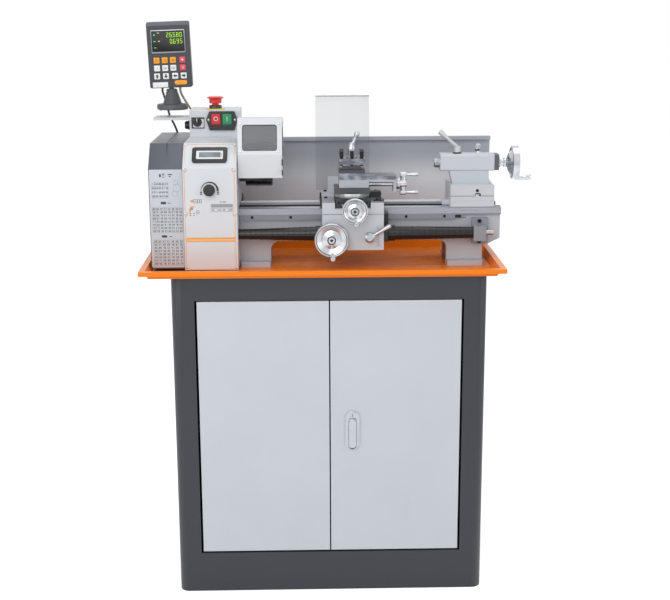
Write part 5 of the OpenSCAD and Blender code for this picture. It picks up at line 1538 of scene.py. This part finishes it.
class LATHE_OT_tailstock(Step, bpy.types.Operator):
    """Tailstock with quill, wheel and its two locks"""
    bl_idname = "lathe.tailstock"
    bl_label = "Tailstock"

    def execute(self, context):
        casting = self.paint("casting")
        low, high = span("tailstock_body")
        base_low, base_high = span("tailstock_base")

        def body_end(x, y, z):
            return x > (high.x - 10.9) * MM

        def foot_ground(x, y, z):
            return z < (WAY_Z + 2) * MM

        def foot_end(x, y, z):
            return x > (base_high.x - 6.9) * MM

        coat("tailstock_body", cast_paint("tailstock casting", casting, None, body_end,
                                          (84, 87, 93)))
        coat("tailstock_base", cast_paint("tailstock foot", casting, foot_ground, foot_end))
        coat("quill", turned_steel("ground quill", "X", 0, AXIS_Z, 1.02))
        coat("tail_wheel", shared("tail wheel polish"))
        coat("quill_lock tail_clamp", banded("polished clamps", tone(202, 205, 208), tone(34, 34, 37),
                                             AXIS_Z + 21.3, AXIS_Z + 24.9))
        soften("tailstock_body tailstock_base", 1.2)
        self.quill_marks()
        self.joint(low.y, base_low.x, base_high.x)
        self.grips(high.x, base_low.x)
        self.dial(high.x)
        self.quill_grooves()
        return {"FINISHED"}

    def quill_marks(self):
        """The scale along the front of the quill."""
        marks = Shape()
        for k in range(14):
            half = (5 if k % 5 == 0 else 3) / 2
            x = QUILL_LOW.x + 3 + k * 0.7
            patch(marks, x, x + 0.2, -half, half, lambda a, b: (a, -10.65 + b * b * 0.045, AXIS_Z + b))
        marks.piece("quill_marks", shared("dark ink"), "quill")

    def joint(self, front, left, right):
        """The set-over screw, and the stepped line between body and base."""
        oxide = shared("black screws")
        screws = Shape()
        cap_screw(screws, at(348, front, 922), 3.6, 0.9)
        screws.piece("tailstock_screws", oxide, "tailstock")
        line = Shape()
        lay = facing(front - 0.12)
        foot = 909.2
        for x0, x1, z0, z1 in ((left + 17, 342.6, foot, 910.2), (356, right - 8, foot, 910.2),
                               (342.6, 343.8, foot, 915), (343.8, 353.4, 913.8, 916.4),
                               (352.2, 356, foot, 915.4)):
            patch(line, x0, x1, z0, z1, lay)
        line.piece("set_over_marks", oxide, "tailstock")

    def grips(self, wheel_x, clamp_x):
        """Turned grips of the wheel and of the clamp's lever."""
        polish = shared("tail wheel polish")
        wheel_foot = span("tail_wheel")[0].z
        for name, body, profile, place, steps in (
                ("tail_wheel_grip", "tail_wheel",
                 [(4.2, 0), (5.2, 0.6), (5.6, 6), (5.9, 30), (5.2, 35.2), (4.2, 36)],
                 at(wheel_x + 41.5, 0, wheel_foot + 4.4, ("Z", -90)), 24),
                ("tail_clamp_grip", "tail_clamp",
                 [(4.4, 46), (5.6, 47), (6.1, 50), (6.1, 73), (5.2, 75.4), (0, 76)],
                 at(clamp_x + 78, 57, WAY_Z + 41, ("Y", 12), ("X", 90)), 28)):
            Shape().revolve(profile, place, steps).piece(name, polish, body)

    def dial(self, end):
        dial = Shape()
        ticks(dial, at(end + 0.4, 0, AXIS_Z, ("Z", -90)), 11.55, 0.6, (4, 2.4, 2.4, 2.4, 3), 40, 0.3)
        dial.piece("tail_dial_marks", shared("dark ink"), "tail_wheel")

    def quill_grooves(self):
        """Three fine dark rings near the quill's nose."""
        place = at(QUILL_LOW.x + 3, 0, AXIS_Z, ("Z", -90))
        low, high = 10.68, 10.85
        rings = Shape()
        for start in (0.6, 3.6, 6.6):
            rings.revolve([(low, start), (high, start + 0.1), (high, start + 0.8),
                           (low, start + 0.9)], place, 40)
        rings.piece("quill_grooves", shared("dark ink"), "quill")


# ---------- readout ----------

READOUT_FACE = at(-358, 100, AXIS_Z + 244, ("Y", -2))
HINGE = (-356, 114, 1137)


def on_readout(name, outline, material, near, far, edge=0.2):
    """A thin piece on the readout's face."""
    slab(name, outline, near, far, READOUT_FACE, edge, material, "display")


class LATHE_OT_readout(Step, bpy.types.Operator):
    """Digital readout on its stand"""
    bl_idname = "lathe.readout"
    bl_label = "Readout"

    def execute(self, context):
        coat("dro_stand", shared("stand moulding"))
        coat("dro_display", powder_coat("readout paint", tone(50, 53, 60), 0.42))
        soften("dro_display", 1.0)
        self.stand()
        self.pin()
        on_readout("readout_frame", rounded(-39.8, 38.8, 4.6, 57.0, 1.6),
                   milled_steel("satin chrome", tone(150, 154, 160), 0.3, (1, 1, 0.1)), -0.4, 0.9)
        on_readout("readout_glass", rounded(-38.6, 37.4, 7.2, 55.4, 1.0),
                   plastic("black glass", tone(7, 8, 9), 0.3, 0.3), -0.55, 0.5, 0.05)
        on_readout("readout_brow",
                   [(-49, 67), (49, 67), (48, 75), (44, 75.6), (-44, 75.6), (-48, 75)],
                   powder_coat("brow paint", tone(98, 102, 110), 0.4), -0.25, 0.3, 0.1)
        self.numbers()
        self.keys()
        return {"FINISHED"}

    def stand(self):
        """A disc, a ribbed cone, and a fork for the hinge."""
        ribs = []
        for k in range(12):
            r, z = 22 - k * 0.95, 14 + k * 2.85
            ribs += [(r, z), (r - 0.2, z + 1.9), (r - 1.1, z + 2.1), (r - 1.2, z + 2.7)]
        foot = [(0, 0), (35, 0), (36.5, 1.5), (36.5, 10.5), (35, 12.5), (24, 14)]
        x, y, z = HINGE
        shape = Shape()
        shape.revolve(foot + ribs + [(0, 48.4)], at(-355.2, y, BOX_HIGH.z + 0.02, ("X", 90)), 64)
        for side in (-1, 1):
            near, far = sorted((side * 5.4, side * 11))
            shape.block(x + near, x + far, y - 7, y + 7, z - 17, z, 0.4)
            shape.revolve([(0, near), (7, near), (7, far), (0, far)], at(*HINGE, ("Z", -90)), 32)
        piece = shape.piece("readout_stand", shared("stand moulding"), "frame", smooth=40)
        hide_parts("dro_stand")

    def pin(self):
        pin = Shape()
        pin.revolve([(0, -14), (3, -14), (3, 14), (0, 14)], at(*HINGE, ("Z", -90)), 24)
        pin.piece("readout_stand_pin", shared("zinc screws"), "frame")

    def numbers(self):
        """Lit digits, and the marks beside and above them."""
        lay = lying(READOUT_FACE, 0.62)
        lit = Shape()
        digits(lit, "26.580", -3.4, 40.2, 4.7, 10.2, 0.7, lay, 1.64)
        digits(lit, "0.695", 4.5, 25.6, 4.7, 10.2, 0.7, lay, 1.64)
        lit.piece("readout_digits", glow("lit digits", self.paint("digits"), 0.85), "display")
        for name, ink, marks in (
                ("readout_axis_marks", glow("green marks", tone(60, 210, 110), 0.7),
                 ((-32, 46, 2.4, 3.4), (-31.5, 31.5, 4.4, 1.6), (-31, 17, 4.4, 1.6))),
                ("readout_unit_marks", glow("yellow marks", tone(200, 220, 60), 0.7),
                 ((-22.5, 50.5, 4, 1.4), (-21.5, 31.8, 4, 1.4)))):
            shape = Shape()
            for mark in marks:
                spot(shape, *mark, lay)
            shape.piece(name, ink, "display")

    def keys(self):
        """Three rows of square keys, the wide key and the blank plate below them."""
        orange = plastic("orange key", tone(250, 158, 14), 0.45)
        white = plastic("white key", tone(232, 233, 235), 0.45)
        red = plastic("red key", tone(222, 66, 84), 0.45)
        dark, pale = Shape(), Shape()
        for row, z, places, paints in (
                (0, -12, (-30, -11, 8, 30), (orange, orange, orange, red)),
                (1, -30, (-30, -11, 8, 30), (white, white, white, red)),
                (2, -48.5, (-31, -10.5, 11, 31), (white, white, white, white))):
            for column, (x, paint) in enumerate(zip(places, paints)):
                on_readout("key_%d_%d" % (row + 1, column + 1),
                           rounded(x - 6.7, x + 6.7, z - 6.7, z + 6.7, 1.2), paint, -1.85, 0.2, 0.35)
                self.key_mark(pale if paint == red else dark, row, column, x, z)
        dark.piece("key_dark_marks", shared("black ink"), "display")
        pale.piece("key_pale_marks", printed("white ink", tone(240, 240, 240), 0.5), "display")
        on_readout("key_enter", rounded(8.8, 38.2, -69.2, -59.3, 4.6), orange, -1.85, 0.2, 0.35)
        on_readout("readout_plate", rounded(-42.6, -7.0, -74.4, -62.5, 0.8), white, -0.35, 0.2, 0.08)

    def key_mark(self, shape, row, column, x, z):
        """Numbers on the first two rows and arrows on the third."""
        lay = lying(READOUT_FACE, 1.95)
        if row == 2:
            spin = Matrix.Rotation(math.radians((0, 180, 90, 270)[column]), 2)
            arrow = [spin @ Vector(p) for p in ((0, 4.8), (-4.6, 0.2), (-1.9, 0.2), (-1.9, -4.6),
                                                (1.9, -4.6), (1.9, 0.2), (4.6, 0.2))]
            shape.quad([lay(x + p.x, z + p.y) for p in arrow])
        elif (row, column) == (0, 3):
            disc(shape, x, z, 2.2, lay)
        else:
            text = (("0", "12", "15"), ("1", "50", "60", "12"))[row][column]
            pen = 0.7 if column in (0, 3) else 0.6
            digits(shape, text, x - (1.5 if column == 0 else 4), z - 2.6, 3, 5.2, pen, lay)


# ---------- drive ----------

class LATHE_OT_drive(Step, bpy.types.Operator):
    """Motor, belt, pulleys and gears"""
    bl_idname = "lathe.drive"
    bl_label = "Drive"

    def execute(self, context):
        low, high = span("drive_motor")
        y, z = 122, (low.z + high.z) / 2
        coat("drive_motor", black_oxide("motor shell", tone(62, 64, 68)))
        coat("motor_pulley", turned_steel("motor pulley steel", "X", y, z, 0.95))
        # the spindle pulley shares the chuck's steel, with its painted shade
        coat("spindle_pulley", shared("turned chuck"))
        coat("stud_gear", milled_steel("cut gear", tone(176, 178, 180), 0.34, EVEN))
        coat("drive_belt", plastic("belt rubber", tone(28, 28, 30), 0.7))
        vents = 12
        slots = Shape()
        for k in range(vents):
            slots.block(26, 41, high.x - 0.35, high.x + 0.05, -1.6, 1.6, 0.1,
                        turn=at(0, y, z, ("Z", -90), ("Y", 360 / vents * k)))
        slots.piece("motor_vents", shared("dark gap"), "frame")
        return {"FINISHED"}


STEPS = (LATHE_OT_stage, LATHE_OT_stand, LATHE_OT_bed, LATHE_OT_headstock, LATHE_OT_switches,
         LATHE_OT_gear_cover, LATHE_OT_chuck, LATHE_OT_carriage, LATHE_OT_slides,
         LATHE_OT_tailstock, LATHE_OT_readout, LATHE_OT_drive, LATHE_OT_cables)


class LATHE_PT_sidebar(bpy.types.Panel):
    """The lathe's settings and steps"""
    bl_idname = "LATHE_PT_sidebar"
    bl_label = "Lathe"
    bl_space_type = "VIEW_3D"
    bl_region_type = "UI"
    bl_category = "Lathe"

    def draw(self, context):
        for name, group in SETTINGS.items():
            box = self.layout.box()
            for key in group.__annotations__:
                box.prop(getattr(context.scene, name), key)
        for step in STEPS:
            self.layout.operator(step.bl_idname)


def register():
    for kind in (*SETTINGS.values(), *STEPS, LATHE_PT_sidebar):
        bpy.utils.register_class(kind)
    for name, group in SETTINGS.items():
        setattr(bpy.types.Scene, name, bpy.props.PointerProperty(type=group))


def unregister():
    for name in SETTINGS:
        delattr(bpy.types.Scene, name)
    for kind in reversed((*SETTINGS.values(), *STEPS, LATHE_PT_sidebar)):
        bpy.utils.unregister_class(kind)


def main():
    register()
    for step in STEPS:
        getattr(bpy.ops.lathe, step.bl_idname.split(".")[1])()


if __name__ == "__main__":
    main()
